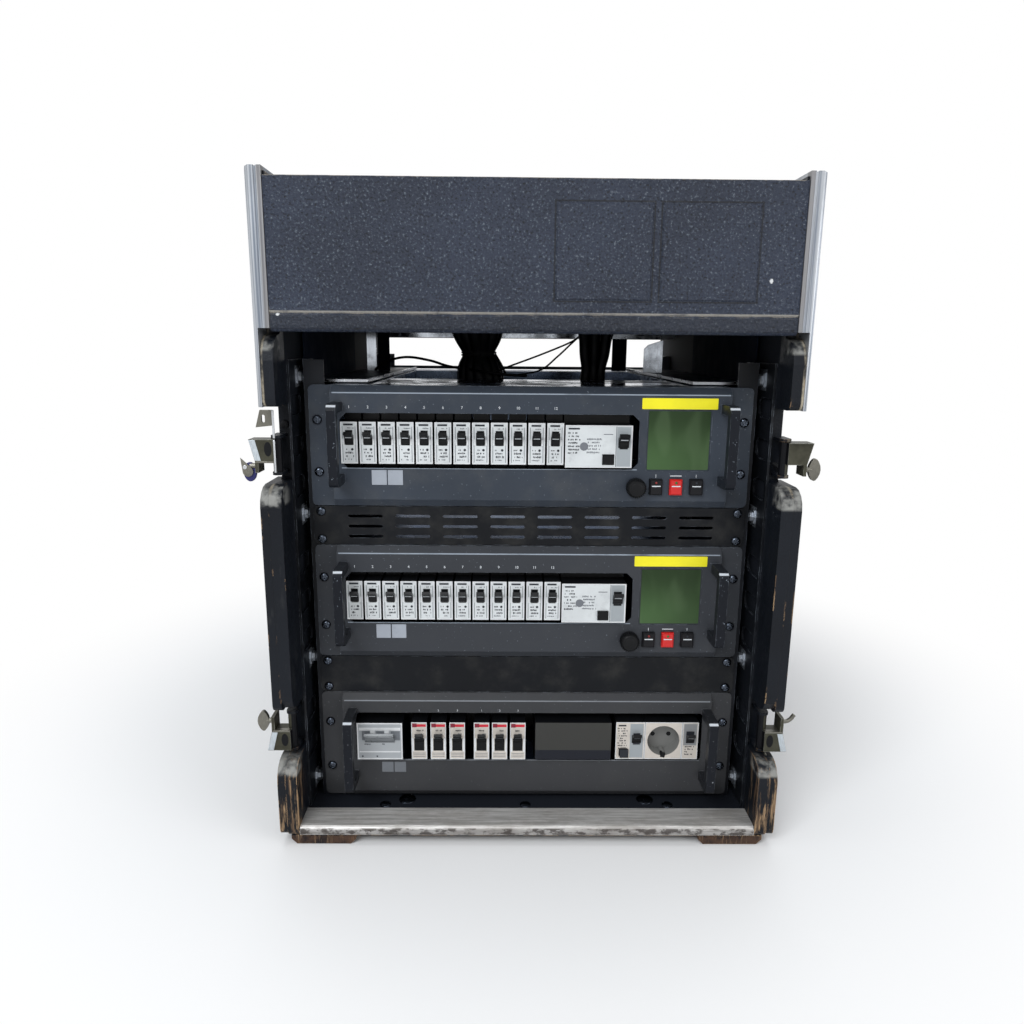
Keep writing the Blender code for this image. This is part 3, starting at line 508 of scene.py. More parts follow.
def switchgear(name, base, extra, cup=None):
    """Breaker plastic that stays pale on the noses only: gaps and recesses are painted black as shade, and
    what stands out past the noses is black. extra holds (spans, colour) for fields of another colour, and
    cup the spans of a socket that stays pale down to its floor, greyed with depth as painted shade."""
    look = Look(name, 0.36, specular=0.25)
    depth = look.axis(1)

    def from_nose(start, end):
        return look.ramp(depth, (NOSE_Y + start) * MM, (NOSE_Y + end) * MM)

    look.base(look.patches(22.0), shade(base, 0.94), shade(base, 1.08))
    look.layer(look.patches(110.0, 0.52, 0.75, rough=0.7), shade(base, 0.45), 0.25)
    for spans, tint in extra:
        look.layer(look.within(0.15, **spans), tint)
    # painted shade: black in the gaps and recesses behind the nose faces; what stands in front of them is
    # black
    black = look.any_of(from_nose(0.05, 0.2), from_nose(-0.25, -0.4))
    if cup:
        inner = look.times(look.within(**cup), from_nose(-0.5, -0.3))
        black = look.times(black, look.outside(inner))
        # painted shade: the socket greys towards its floor
        look.layer(look.times(inner, from_nose(0.1, 1.0)), srgb(128, 128, 126))
    look.layer(black, srgb(13, 14, 17))
    look.bump(look.noise(1500.0, 1.0), 0.02, 0.5, 0.35)
    return look.finish(look.sheen(0.32, 0.44, 60.0))


def unit_paint(name, base, worn, tops, drop, window):
    """Faceplate paint: powder coat, a bright painted highlight line on each top bevel and under each window,
    and black handles, their front faces darkened as painted shade, with a bright line at the top of their
    grips. drop leads from a top edge to the grips, and window holds the left and right end of the window's
    lower edge and its drop."""
    look = Look(name, 0.42, specular=0.14)
    depth = look.axis(1)
    look.base(look.patches(7.0), shade(base, 0.88), shade(base, 1.1))
    look.layer(look.patches(26.0, 0.45, 0.75, detail=5.0, rough=0.6), DUST, 0.12)
    look.layer(look.ramp(look.axis(2), 0.38, 0.36, 0.0, 0.7), srgb(56, 57, 60))
    look.layer(look.ramp(depth, -0.2845, -0.286), srgb(17, 20, 25), 0.7)
    # painted shade: the grips' forward-facing faces are darkened
    grip = look.times(look.ramp(look.axis(1, look.normal()), -0.5, -0.8), look.ramp(depth, -0.316, -0.3175))
    look.layer(grip, srgb(16, 19, 26), 0.9)
    look.layer(look.times(look.edges(0.7), look.patches(80.0, 0.46, 0.6, rough=0.65)), worn, 0.45)
    specks = look.patches(420.0, 0.7, 0.74, detail=2.0, rough=0.5)
    look.layer(look.times(specks, look.ramp(grip, 0.0, 1.0, 0.35, 0.9)), worn)
    left, right, foot = window
    lines, grips = [], []
    # painted highlights: bright lines on each top bevel and on the bevel under each window, in the worn
    # colour made lighter
    for top in tops:
        lines.append(look.within(0.35, z=(top - 8.9, top - 7.7), y=(-284.0, -281.5), x=(-214.0, 214.0)))
        lines.append(look.within(z=(top - foot - 0.5, top - foot + 0.5), y=(-283.5, -276.0), x=(left, right)))
        grips.append(look.within(0.5, z=(top - drop - 3.4, top - drop - 1.4), y=(-322.0, -316.0)))
    streaky = look.patches(30.0, 0.25, 0.5, 0.35, 1.0, rough=0.6, stretch=(0.6, 1.0, 1.0))
    look.layer(look.times(look.any_of(*lines), streaky), shade(worn, 1.15), 0.85)
    broken = look.patches(60.0, 0.25, 0.4, 0.5, 1.0, detail=3.0)
    look.layer(look.times(look.any_of(*grips), broken), srgb(206, 212, 220), 0.9)
    look.bump(look.noise(950.0, 2.0, 0.5), 0.09)
    return look.finish(look.sheen(0.34, 0.5))


def frame_paint():
    """Frame steel: satin black, with zinc-bright bolts in the walls, a pale painted highlight strip on each
    cover, and a silver flange at the rear."""
    look = Look("frame paint", 0.42, specular=0.2)
    look.base(look.patches(7.0), srgb(15, 17, 21), srgb(24, 27, 33))
    # painted highlight: pale strip along the covers over the top unit
    look.layer(look.within(1.0, z=(UNIT1, UNIT1 + 4.0), y=(-242.0, 246.0)), srgb(96, 106, 120), 0.8)
    look.layer(look.times(look.edges(0.9), look.patches(70.0, 0.46, 0.6, rough=0.65)), srgb(112, 120, 130))
    bolts = look.any_of(*(look.within(0.2, x=span, y=(-272.5, -249.5), z=(z - 11.5, z + 11.5))
                          for z in BOLT_HEIGHTS for span in ((-255.6, -247.2), (247.2, 255.6))))
    rear = look.times(look.ramp(look.axis(1), 0.236, 0.239), look.ramp(look.axis(2), 0.514, 0.518))
    look.layer(look.any_of(bolts, look.times(rear, 0.6)), srgb(164, 170, 178))
    look.set("Metallic", look.times(bolts, 0.9))
    look.bump(look.noise(700.0, 2.0, 0.5), 0.05)
    return look.finish(look.sheen(0.34, 0.5))


def drawn_edge():
    """Anodised edge extrusion, seen as bands: pale outer face, blue-grey grooves, brown inner return."""
    look = Look("drawn aluminium", 0.4, 0.75)
    bands = look.noise(420.0, 3.0, 0.6, (1.0, 0.02, 0.006))
    cloud = look.patches(16.0, 0.35, 0.7, detail=5.0, rough=0.65, stretch=(1.0, 1.0, 0.4))
    look.base(look.ramp(bands, 0.36, 0.6), srgb(112, 120, 132), srgb(176, 180, 186))
    look.layer(cloud, srgb(108, 108, 108), 0.35)
    look.layer(look.within(0.5, x=(-263.5, 263.5), y=(-342.0, -330.0)), srgb(96, 90, 86), 0.6)
    look.bump(bands, 0.03, 0.5)
    return look.finish(look.ramp(cloud, 0.0, 1.0, 0.34, 0.55))


def sill_metal():
    """Aluminium sill: grey-brown worn top, bright rubbed arris, dark specked front face."""
    look = Look("worn aluminium sill", 0.42, 0.45)
    lines = look.noise(300.0, 4.0, 0.65, (0.05, 1.0, 1.0))
    blots = look.patches(40.0, 0.4, 0.65, detail=5.0, rough=0.7, stretch=(0.4, 1.0, 1.0))
    look.base(look.ramp(lines, 0.35, 0.65), srgb(176, 174, 171), srgb(216, 214, 212))
    look.layer(blots, srgb(112, 102, 94), 0.35)
    low = look.ramp(look.axis(2), 0.0222, 0.0208)
    grime = look.patches(130.0, 0.42, 0.6, rough=0.7, stretch=(0.5, 1.0, 1.0))
    look.layer(look.times(low, look.ramp(grime, 0.0, 1.0, 0.35, 0.9)), srgb(52, 44, 40))
    look.layer(look.edges(1.0), srgb(214, 214, 214), 0.9)
    look.bump(lines, 0.2)
    return look.finish(look.ramp(blots, 0.0, 1.0, 0.34, 0.55))


def brushed(name, base, roughness, stretch, stain, wear=0.0, metallic=1.0):
    """Bare metal: drawing lines along one axis, dull stains, and bright edges, worn, and on the screws a
    painted highlight.
    """
    look = Look(name, roughness, metallic)
    lines = look.noise(900.0, 2.0, 0.5, stretch)
    cloud = look.patches(16.0, 0.35, 0.7, detail=5.0, rough=0.65)
    look.base(look.ramp(lines, 0.3, 0.7), shade(base, 0.9), shade(base, 1.08))
    look.layer(cloud, shade(base, 0.5), stain)
    if wear:
        look.layer(look.edges(1.0), shade(base, 1.7), wear)
    look.bump(lines, 0.03, 0.5)
    return look.finish(look.ramp(cloud, 0.0, 1.0, roughness - 0.06, roughness + 0.16))


def moulded(name, base, roughness, grime):
    """Moulded plastic or print: fine grain and a little grime on the flats."""
    look = Look(name, roughness, specular=0.16 if max(base) < 0.05 else 0.45)
    look.base(look.patches(22.0), shade(base, 0.92), shade(base, 1.05))
    look.layer(look.times(look.patches(90.0, 0.52, 0.75, rough=0.7), grime), shade(base, 0.5))
    look.bump(look.noise(1500.0, 1.0), 0.02, 0.5, 0.35)
    return look.finish(look.sheen(roughness - 0.05, roughness + 0.08, 60.0))


def glass():
    """Display glass over a green field that lightens to its lower left, with faint pale reflections."""
    look = Look("display", 0.35, specular=0.2)
    look.set("Coat Weight", 0.15)
    look.set("Coat Roughness", 0.12)
    height = look.axis(2)
    lower = look.within(30.0, z=(246.0, 380.0))
    fall = look.mix(lower, look.ramp(height, 0.487, 0.43), look.ramp(height, 0.31, 0.25))
    fall = look.times(fall, look.ramp(look.axis(0), 0.2, 0.13, 0.55, 1.0))
    look.base(fall, srgb(26, 48, 16), srgb(60, 88, 50))
    streak = look.patches(20.0, 0.52, 0.64, detail=2.0, rough=0.4, stretch=(1.6, 1.0, 0.5))
    look.layer(streak, srgb(108, 132, 96), 0.14)
    look.bump(look.noise(40.0), 0.02, 0.2, 0.0)
    return look.finish()


def olive_steel():
    """Latch steel: dark olive with worn edges, black round the pin."""
    look = Look("olive latch steel", 0.42, 0.3, 0.2)
    look.base(look.patches(40.0), srgb(44, 43, 35), srgb(70, 69, 58))
    look.layer(look.times(look.edges(1.2), look.patches(90.0, 0.35, 0.55, rough=0.65)), srgb(150, 150, 142))
    look.layer(look.within(x=(-268.3, 268.3)), srgb(14, 15, 19))
    look.bump(look.noise(500.0, 2.0, 0.5), 0.05)
    return look.finish()


LOOKS = {
    "ply": ply(),
    "structure": structure_paint(),
    "aluminium": drawn_edge(),
    "sill": sill_metal(),
    "zinc": brushed("worn zinc", srgb(118, 116, 108), 0.42, ALONG_Z, 0.7, 0.5, 0.8),
    "bright": brushed("bright zinc", srgb(205, 208, 212), 0.28, (1.0, 1.0, 0.4), 0.3, 0.2),
    "polished": brushed("polished strip", srgb(186, 192, 200), 0.14, (1.0, 1.0, 0.05), 0.25),
    "end": brushed("worn end face", srgb(186, 194, 200), 0.42, ALONG_Z, 0.25, 0.1, 0.4),
    "chassis": brushed("chassis sheet", srgb(128, 142, 164), 0.18, (0.03, 1.0, 1.0), 0.4, 0.5, 0.9),
    # the screws' bright edges are a painted highlight
    "screw": brushed("dark screw", srgb(72, 78, 88), 0.2, EVEN, 0.3, 0.9),
    "frame": frame_paint(),
    "box": painted("box paint", srgb(16, 18, 22), srgb(120, 126, 134), 700.0, 0.4, 0.35),
    "panel": painted("black panel paint", srgb(6, 9, 15), srgb(92, 98, 106), 800.0, 0.4, 0.3, 0.06, 0.1),
    "sheet": painted("side sheet", srgb(20, 26, 38), srgb(70, 82, 100), 500.0, 0.82, 0.3, specular=0.04),
    "unit": unit_paint("blue grey paint", srgb(55, 61, 70), srgb(150, 160, 172), (UNIT1, UNIT2), 17.7,
                       (-206.0, 116.0, 89.6)),
    "power": unit_paint("dark grey paint", srgb(64, 65, 67), srgb(128, 132, 138), (UNIT3,), 17.0,
                        (-201.0, 205.0, 83.9)),
    "breaker": switchgear("dimmer switchgear", srgb(198, 202, 204), [
        ({"x": (92.6, 107.6), "z": (top - 85.4, top - 42.4)}, BOX_GREY) for top in (UNIT1, UNIT2)]),
    "power_gear": switchgear("power switchgear", srgb(197, 190, 182), [
        ({"x": (-200.0, -146.0), "z": (70.0, 130.0)}, srgb(160, 164, 168)),
        ({"x": (9.0, 99.0), "z": (70.0, 130.0)}, srgb(54, 54, 52)),
        ({"x": (9.0, 99.0), "z": (70.0, 90.5)}, srgb(22, 25, 34)),
        ({"x": (120.8, 136.4), "z": (81.0, 124.4)}, BOX_GREY),
        ({"x": (184.0, 199.4), "z": (97.0, 124.4)}, srgb(132, 134, 136))],
        {"x": (140.9, 179.7), "z": (83.4, 122.4)}),
    "green": glass(),
    "olive": olive_steel(),
}
for key, name, colour, roughness, grime in (
        ("lever", "lever plastic", (17, 18, 20), 0.32, 0.0),
        ("grey_lever", "grey lever plastic", (112, 116, 120), 0.32, 0.2),
        ("key", "key plastic", (24, 24, 27), 0.38, 0.1),
        ("red", "red key plastic", (196, 28, 26), 0.36, 0.15),
        ("jacket", "cable jacket", (4, 6, 10), 0.5, 0.2),
        ("white", "white print", (208, 213, 218), 0.5, 0.25),
        ("pale", "pale moulding", (214, 216, 218), 0.4, 0.15),
        ("grey", "grey print", (104, 108, 114), 0.5, 0.2),
        ("dark", "dark print", (46, 48, 54), 0.5, 0.1),
        ("red_print", "red print", (196, 30, 50), 0.45, 0.1),
        ("wine", "dark red print", (122, 22, 44), 0.45, 0.1),
        ("yellow", "yellow label", (232, 222, 24), 0.4, 0.05),
        ("badge", "pale badge", (152, 158, 168), 0.4, 0.3),
        ("lens", "lamp lens red", (120, 26, 24), 0.3, 0.0),
        ("lens_green", "lamp lens green", (34, 110, 52), 0.2, 0.0),
        ("rubber", "rubber", (14, 15, 18), 0.6, 0.3),
        ("blue", "blue ring", (27, 29, 92), 0.4, 0.2)):
    LOOKS[key] = moulded(name, srgb(*colour), roughness, grime)

# how a CAD node's name starts and ends, and its look. The first row that fits counts.
FINISHES = (
    ("", "_wall", "ply"), ("floor_board", "", "ply"), ("front_fascia", "", "structure"),
    ("front_sill", "", "sill"), ("", "edge_profile", "aluminium"), ("latch", "arm", "olive"),
    ("latch", "", "zinc"), ("rack_frame", "", "frame"), ("connection_box", "", "box"),
    ("power", "faceplate", "power"), ("", "faceplate", "unit"), ("", "_panel", "panel"),
    ("", "chassis", "chassis"), ("power", "row", "power_gear"), ("", "row", "breaker"),
    ("power_main_lever", "", "grey_lever"), ("", "key_2", "red"), ("", "key_1", "key"),
    ("", "key_3", "key"), ("", "loom", "jacket"), ("", "", "lever"),
)


def dress():
    """Gives every CAD node its material."""
    for name, node in NODES.items():
        look = next(key for start, end, key in FINISHES if name.startswith(start) and name.endswith(end))
        for slot in node.material_slots:
            slot.material = LOOKS[look]


# small pieces
def rack_screws():
    """Pan heads with a cross recess on the ears of the five panels."""
    radius, height = 5.2, 3.4
    cup = [(radius * 0.5, 0.6), (radius, 0.0), (radius, -0.35 * height), (radius * 0.84, -0.72 * height),
           (radius * 0.5, -0.96 * height), (radius * 0.12, -height)]
    a, h = radius * 0.58, radius * 0.14
    plus = [(-h, -a), (h, -a), (h, -h), (a, -h), (a, h), (h, h), (h, a), (-h, a), (-h, h), (-a, h), (-a, -h),
            (-h, -h)]
    head = carved(turned(cup, 20), prism(plus, "Y", -height - 1.0, -height * 0.4))
    spots = []
    for side in BOTH:
        for tops, drops in (((UNIT1, UNIT2, UNIT3), (38.1, 95.25)), ((VENT, BLANK), (6.35, 38.1))):
            spots += [(side * SCREW_X, top - drop) for top in tops for drop in drops]
    forms = [moved(turn(head.copy(), 23.0 * i, "Y"), x, EAR_Y, z) for i, (x, z) in enumerate(spots)]
    head.free()
    piece("rack_screws", "case", forms, "screw", 40.0)


def glyphs(x0, x1, z, height, fill=0.8):
    """Tiny uneven dashes, as small print looks from a step away. They form no words."""
    forms, x = [], x0
    while x < x1 - 0.5:
        width = random.uniform(0.5, 1.3)
        if random.random() < fill:
            low = z + random.uniform(0.0, 0.25) * height
            high = z + random.uniform(0.7, 1.0) * height
            forms.append(mark(x, min(x + width, x1), low, high, 0.08))
        x += width + random.uniform(0.25, 0.6)
    return forms


def nose_frame(x0, x1, z0, z1, rim):
    """Raised pale rim round a breaker's nose."""
    outer = [(x0, z0), (x1, z0), (x1, z1), (x0, z1)]
    inner = [(x0 + rim, z0 + rim), (x1 - rim, z0 + rim), (x1 - rim, z1 - rim), (x0 + rim, z1 - rim)]
    steps = ((outer, 0.02), (outer, -0.25), (inner, -0.25), (inner, 0.02))
    return skinned([[(x, NOSE_Y + out, z) for x, z in outline] for outline, out in steps], False)


def breaker_marks():
    """Rims, printed bars, frame lines and small print on the noses of the breakers, and black fields in the
    lever slots, painted shade round the levers."""
    dark, grey, red, wine, rims, slot_shades, pale = [], [], [], [], [], [], []
    rows = [(x, top - 83.9, top - 38.8, False) for top in (UNIT1, UNIT2) for x in BREAKER_X]
    rows += [(x, UNIT3 - 80.0, UNIT3 - 33.0, True) for x in POWER_X]
    for middle, low, high, power in rows:
        rims.append(nose_frame(middle - 9.0, middle + 9.0, low, high, 0.9))
        if power:
            red.append(mark(middle - 2.8, middle + 8.2, high - 5.6, high - 2.4))
            wine.append(mark(middle - 8.0, middle - 2.8, high - 6.2, high - 1.4))
            dark += glyphs(middle - 3.0, middle + 5.0, high - 11.5, 2.4)
            grey += glyphs(middle + 1.0, middle + 6.0, high - 15.5, 1.8, 0.7)
            # painted shade: black field in the lever slot
            slot_shades.append(mark(middle - 5.8, middle + 5.8, low + 11.0, low + 26.6))
            for x in (middle - 7.2, middle + 7.2):
                pale.append(mark(x - 0.9, x + 0.9, low + 10.0, low + 27.0, 0.4))
            grey += [mark(middle - 7.0, middle + 7.0, low + dz, low + dz + 0.6) for dz in (3.0, 5.2, 7.4)]
            continue
        dark.append(mark(middle - 5.8, middle + 4.6, high - 4.0, high - 2.0))
        grey += glyphs(middle - 1.5, middle + 5.5, high - 7.4, 1.6)
        for side in BOTH:
            edge = middle + side * 6.9
            grey.append(mark(edge - 0.3, edge + 0.3, low + 2.0, high - 5.0))
            pale.append(mark(edge - 1.0 - side, edge + 1.0 - side, low + 20.5, low + 27.0, 0.5))
        # painted shade: black field in the lever slot
        slot_shades.append(mark(middle - 3.9, middle + 3.9, low + 20.0, low + 36.2))
        dark += glyphs(middle - 4.6, middle - 0.6, low + 14.4, 2.0)
        dark.append(dot(middle + 3.2, low + 15.4, 1.4, 10))
        dark += glyphs(middle - 4.2, middle + 4.4, low + 10.6, 2.4, 0.85)
        dark += glyphs(middle - 3.6, middle + 5.0, low + 6.8, 2.6, 0.75)
        grey += glyphs(middle - 5.0, middle + 3.0, low + 3.6, 1.8)
    pieces(("breaker_bars", "dark", dark), ("breaker_lines", "grey", grey), ("breaker_rims", "pale", rims),
           ("breaker_cheeks", "pale", pale), ("lever_slot_shades", "lever", slot_shades),
           ("breaker_red_strips", "red_print", red), ("breaker_red_tabs", "wine", wine))


def lever_highlight_line(x, z, reach, width):
    """Thin pale painted highlight across the underside of a lever's grip, where it faces the viewer. The grip
    tapers from 2.2 to 1.6 mm half thickness towards its tip. z is the pivot's height."""
    along = Vector((-math.cos(LEVER_ANGLE), math.sin(LEVER_ANGLE)))
    across = Vector((-along.y, along.x))
    start, end = reach - 7.2, reach - 5.8
    outline = []
    for a, b in ((start, 1.0), (end, 1.0), (end, 2.12), (start, 2.2)):
        p = along * a + across * b
        outline.append((p.x + PIVOT_Y, p.y + z))
    return prism(outline, "X", x - width / 2.0, x + width / 2.0)


def lever_highlight_lines():
    """The painted highlight lines of all levers: each on its own lever, and one piece for the levers fused to
    their rows.
    """
    first, second, power = UNIT1 - 58.4, UNIT2 - 58.4, UNIT3 - 53.5
    rows = [(f"dimmer_1_lever_{i + 1:02d}", "white", x, first, 14.5, 7.0) for i, x in enumerate(BREAKER_X)]
    rows.append(("dimmer_1_rcd_lever", "white", RCD_X, first - 1.5, 16.0, 8.0))
    rows += [(f"power_lever_{i + 1}", "grey", x, power, 14.5, 7.0) for i, x in enumerate(POWER_X)]
    rows.append(("power_rcd_lever", "grey", 128.5, power, 14.5, 7.0))
    # each lever carries its painted highlight line
    for body, look, *line in rows:
        piece(body + "_line", body, [lever_highlight_line(*line)], look)
    piece("main_lever_highlight_line", "power_main_lever", [lever_highlight_line(-173.0, power, 16.0, 32.0)], "white")
    fixed = [lever_highlight_line(x, second, 14.5, 7.0) for x in BREAKER_X]
    fixed += [lever_highlight_line(RCD_X, second - 1.5, 16.0, 8.0), lever_highlight_line(191.7, power, 14.5, 6.0)]
    piece("fixed_lever_highlight_lines", "case", fixed, "white")


def badges(name, look, spots, size, low, high, radius):
    """Bare name plates on a faceplate, from their left edges."""
    forms = [prism(rounded(x, x + size, low, high, radius, 2), "Y", BODY_Y - 0.35, BODY_Y, 0.1)
             for x in spots]
    piece(name, "case", forms, look)


def power_front():
    """Printing and trim of the distribution unit: badges, rims, painted shade and painted highlights on the
    main switch, and the socket's small parts, with painted shade in its pin mouths and clip slot.
    """
    def field(x0, x1, low, high, out=0.14):
        return mark(x0, x1, UNIT3 - low, UNIT3 - high, out)

    rims = [nose_frame(-199.5, -146.5, UNIT3 - 80.4, UNIT3 - 34.0, 1.6)]
    rims += [nose_frame(x0, x1, UNIT3 - 79.0, UNIT3 - 32.0, 0.8)
             for x0, x1 in ((104.0, 138.0), (138.4, 182.0), (182.4, 201.0))]
    # painted shade: grey fields on the main switch; painted highlights: pale glint lines
    toggle_shades = [field(x0, x1, 56.0, 44.4) for x0, x1 in ((-193.7, -184.5), (-177.0, -167.7), (-160.0, -149.4))]
    glints = [field(-197.0, -149.0, 71.5, 69.9), field(-197.0, -148.6, 43.6, 39.9)]
    gaps = [field(x - 2.6, x + 2.6, 47.2, 42.0, 0.34) for x in (-181.2, -164.8)]
    dark = glyphs(-191.0, -184.0, UNIT3 - 62.0, 2.2) + glyphs(-170.0, -166.0, UNIT3 - 62.0, 2.2)
    dark += [dot(x, UNIT3 - 76.5, 1.0, 8, 0.14) for x in (-193.5, -176.5)]
    for k in range(9):
        dark += glyphs(106.0 + 0.6 * (k % 3), 116.0 + 1.5 * (k % 2), UNIT3 - 41.0 - 3.1 * k, 2.0, 0.75)
    dark += [field(107.0, 116.0, 37.2, 35.4), field(109.4, 119.4, 76.6, 66.4, 1.74),
             field(124.5, 132.8, 60.5, 46.0), field(187.0, 196.4, 58.5, 43.5)]
    for k in range(4):
        dark += glyphs(186.0, 197.0, UNIT3 - 64.0 - 3.3 * k, 2.2, 0.55)
    # painted shade: black clip slot and pin mouths in the socket
    clip = block(157.6, 163.0, NOSE_Y - 0.6, NOSE_Y + 6.0, UNIT3 - 76.8, UNIT3 - 71.5, 0.4)
    pins = [turned([(2.7, -0.1), (2.7, 0.5)], 16, "Y", (x, NOSE_Y + 17.2, UNIT3 - 55.5))
            for x in (150.8, 169.8)]
    pieces(("power_rims", "pale", rims), ("main_switch_shades", "grey", toggle_shades),
           ("main_switch_glints", "pale", glints), ("main_switch_gaps", "pale", gaps),
           ("power_print", "dark", dark), ("socket_pin_mouths", "lever", pins),
           ("socket_clip_slot", "lever", [turn(clip, 12.0, "Y", (160.3, NOSE_Y, UNIT3 - 74.0))]))
    badges("power_badges", "grey", (-172.0, -157.2), 13.6, UNIT3 - 99.6, UNIT3 - 86.4, 0.4)
    figures("power_numbers", [(str(i % 3 + 1), x, UNIT3 - 20.4) for i, x in enumerate(POWER_X)], 2.4)


def dimmer_front(number, top):
    """Display, label, badges, numbers and lines of a dimmer unit."""
    prefix = f"dimmer_{number}_"
    screen = prism(rounded(127.0, 194.0, top - 89.4, top - 25.5, 1.2), "Y", BODY_Y + 0.75, BODY_Y + 1.08)
    label = prism(rounded(119.0, 201.0, top - 23.4, top - 11.6, 0.8), "Y", BODY_Y - 0.22, BODY_Y, 0.06)
    if number == 2:
        moved(label, -1.0, 0.0, 1.8)
    ticks = [block(x0, x1, BODY_Y - 0.1, BODY_Y + 0.02, top - low, top - high) for x0, x1, low, high in
             ((137.0, 137.6, 98.2, 94.6), (181.3, 181.9, 98.2, 94.6), (153.0, 165.6, 96.6, 95.6))]
    pieces((prefix + "display", "green", [screen]), (prefix + "label", "yellow", [label]),
           (prefix + "ticks", "white", ticks))
    badges(prefix + "badges", "badge", (-173.8, -156.2), 16.4, top - 108.1, top - 91.7, 0.5)
    figures(prefix + "numbers", [(str(i + 1), x, top - 23.6) for i, x in enumerate(BREAKER_X)], 3.0)
    dimmer_controls(prefix, top)
    rcd_marks(prefix, top, number == 2)


def dimmer_controls(prefix, top):
    """A line and a lamp on each key, and the ribs and cap of the knob."""
    y = BODY_Y - 4.5
    lenses = ("lens", "lens_green", "dark")
    for i, middle in enumerate((137.35, 159.25, 181.65)):
        key = f"{prefix}key_{i + 1}"
        line = block(middle - 4.8, middle + 4.8, y - 0.1, y + 0.04, top - 107.6, top - 106.4)
        piece(key + "_line", key, [line], "white")
        dome = turned([(1.4, 0.2), (1.4, -0.3), (1.0, -0.8), (0.3, -1.0)], 14, "Y", (middle, y, top - 103.2))
        piece(key + "_lamp", key, [dome], lenses[i], 50.0)
    ribs = [moved(turn(block(9.5, 10.9, -12.6, -2.2, -0.55, 0.55, 0.25), 360.0 * i / 26.0, "Y"),
                  KNOB_X, BODY_Y, top - 108.6) for i in range(26)]
    cap = turned([(6.4, 0.5), (6.4, -0.1), (5.6, -0.45), (0.6, -0.55)], 24, "Y",
                 (KNOB_X, BODY_Y - 14.2, top - 108.6))
    piece(prefix + "knob_ribs", prefix + "encoder", [*ribs, cap], "lever", 40.0)


def rcd_marks(prefix, top, button):
    """Rim, print and lever well of a residual current breaker, the well painted black as shade, and a black
    field on a test button that is fused to its row."""
    low, high = top - 86.7, top - 40.8
    dark = [mark(40.0, 52.0, high - 4.6, high - 2.8)]
    for k in range(7):
        dark += glyphs(39.6 + 0.5 * (k % 2), 50.0 + 2.0 * (k % 3), high - 9.4 - 3.6 * k, 2.2, 0.7)
    grey = []
    for k in range(5):
        grey += glyphs(60.0 + 1.0 * (k % 2), 76.0 - 2.0 * (k % 2), high - 16.0 - 3.6 * k, 2.3)
    grey += [dot(57.0, low + 23.0, 4.6, 16), mark(91.4, 92.2, low + 1.0, high - 1.0),
             mark(78.0, 88.0, high - 10.0, high - 9.2)]
    # painted shade: black field in the lever's slot
    well = [mark(95.4, 104.4, top - 66.5, top - 50.0)]
    if button:
        well.append(block(77.4, 89.8, NOSE_Y - 1.95, NOSE_Y - 1.78, top - 83.3, top - 72.3))
    pieces((prefix + "rcd_rim", "pale", [nose_frame(36.8, 109.2, low, high, 1.0)]),
           (prefix + "rcd_marks", "grey", grey), (prefix + "rcd_bars", "dark", dark),
           (prefix + "rcd_well", "lever", well))


def cable_loom(side, middles, radii, count, spread, tied):
    """Separate cables drawn together at a tie, from the box floor down to the terminals. middles and radii
    are the loom's own at the top, at the tie and below it."""
    top, tie, bottom, y = BOX_FLOOR, 545.0, 396.4, -58.0
    placed, ring = [], 0
    while len(placed) < count:
        n = max(1, 6 * ring)
        placed += [(ring, 2.0 * math.pi * (k + 0.3 * ring) / n) for k in range(n)]
        ring += 1
    placed = placed[:count]
    rings = max(r for r, _ in placed) + 0.5
    thick = 0.7912 * radii[1] / rings * spread
    x0, x1, x2 = middles
    stations = ((top, x0, radii[0]), (566.0, x0 * 0.4 + x1 * 0.6, radii[0] * 0.82), (tie, x1, radii[1]),
                (526.0, (x1 + x2) * 0.5, radii[2] * 0.92), (505.0, x2, radii[2]), (450.0, x2, radii[2]),
                (bottom, x2, radii[2]))
    forms = []
    for r, a in placed:
        share = r / rings * 1.12 + random.uniform(-0.05, 0.05)
        points = []
        for z, x, radius in stations:
            reach = max(0.0, radius - thick) * share
            angle = a + (top - z) * 0.002
            points.append((x + reach * math.cos(angle), y + 0.76 * reach * math.sin(angle), z))
        forms.append(tube(spline(points), thick))
    piece(f"{side}_cables", "case", forms, "jacket", 50.0, (f"{side}_loom",))
    if tied:
        wide = radii[1] + 0.6
        outline = oval(x1, y, wide, 0.8 * wide, 28)
        band = [prism(outline, "Z", z - 1.3, z + 1.3, 0.4) for z in (tie - 1.6, tie + 1.6)]
        piece(f"{side}_cables_tie", "case", band, "rubber", 40.0)


def thin_cables():
    """Signal cables: an arc from the left wall to the loom, and two wires from the loom up to the right."""
    runs = (
        (((-220.4, 40.0, 519.6), (-199.4, 30.0, 532.5), (-170.4, 20.0, 538.6), (-135.4, 0.0, 534.4),
          (-104.3, -40.0, 527.3), (-61.4, -94.0, 523.4), (-28.8, -98.0, 519.2), (0.0, -96.0, 517.5)), 1.8),
        (((-42.0, -88.0, 520.5), (-32.1, -92.0, 526.2), (17.2, -80.0, 544.3), (59.4, -60.0, 561.4),
          (74.0, -54.0, 572.0)), 1.2),
        (((-19.6, -96.0, 517.6), (17.5, -80.0, 524.5), (40.4, -70.0, 541.7), (59.4, -60.0, 558.8),
          (72.0, -54.0, 570.0)), 1.2),
        (((-42.0, -88.0, 545.0), (-34.0, -92.0, 532.0), (-27.5, -96.0, 519.0)), 1.6),
    )
    forms = [tube(spline(points, 8), radius, 8) for points, radius in runs]
    piece("signal_cables", "case", forms, "jacket", 50.0)


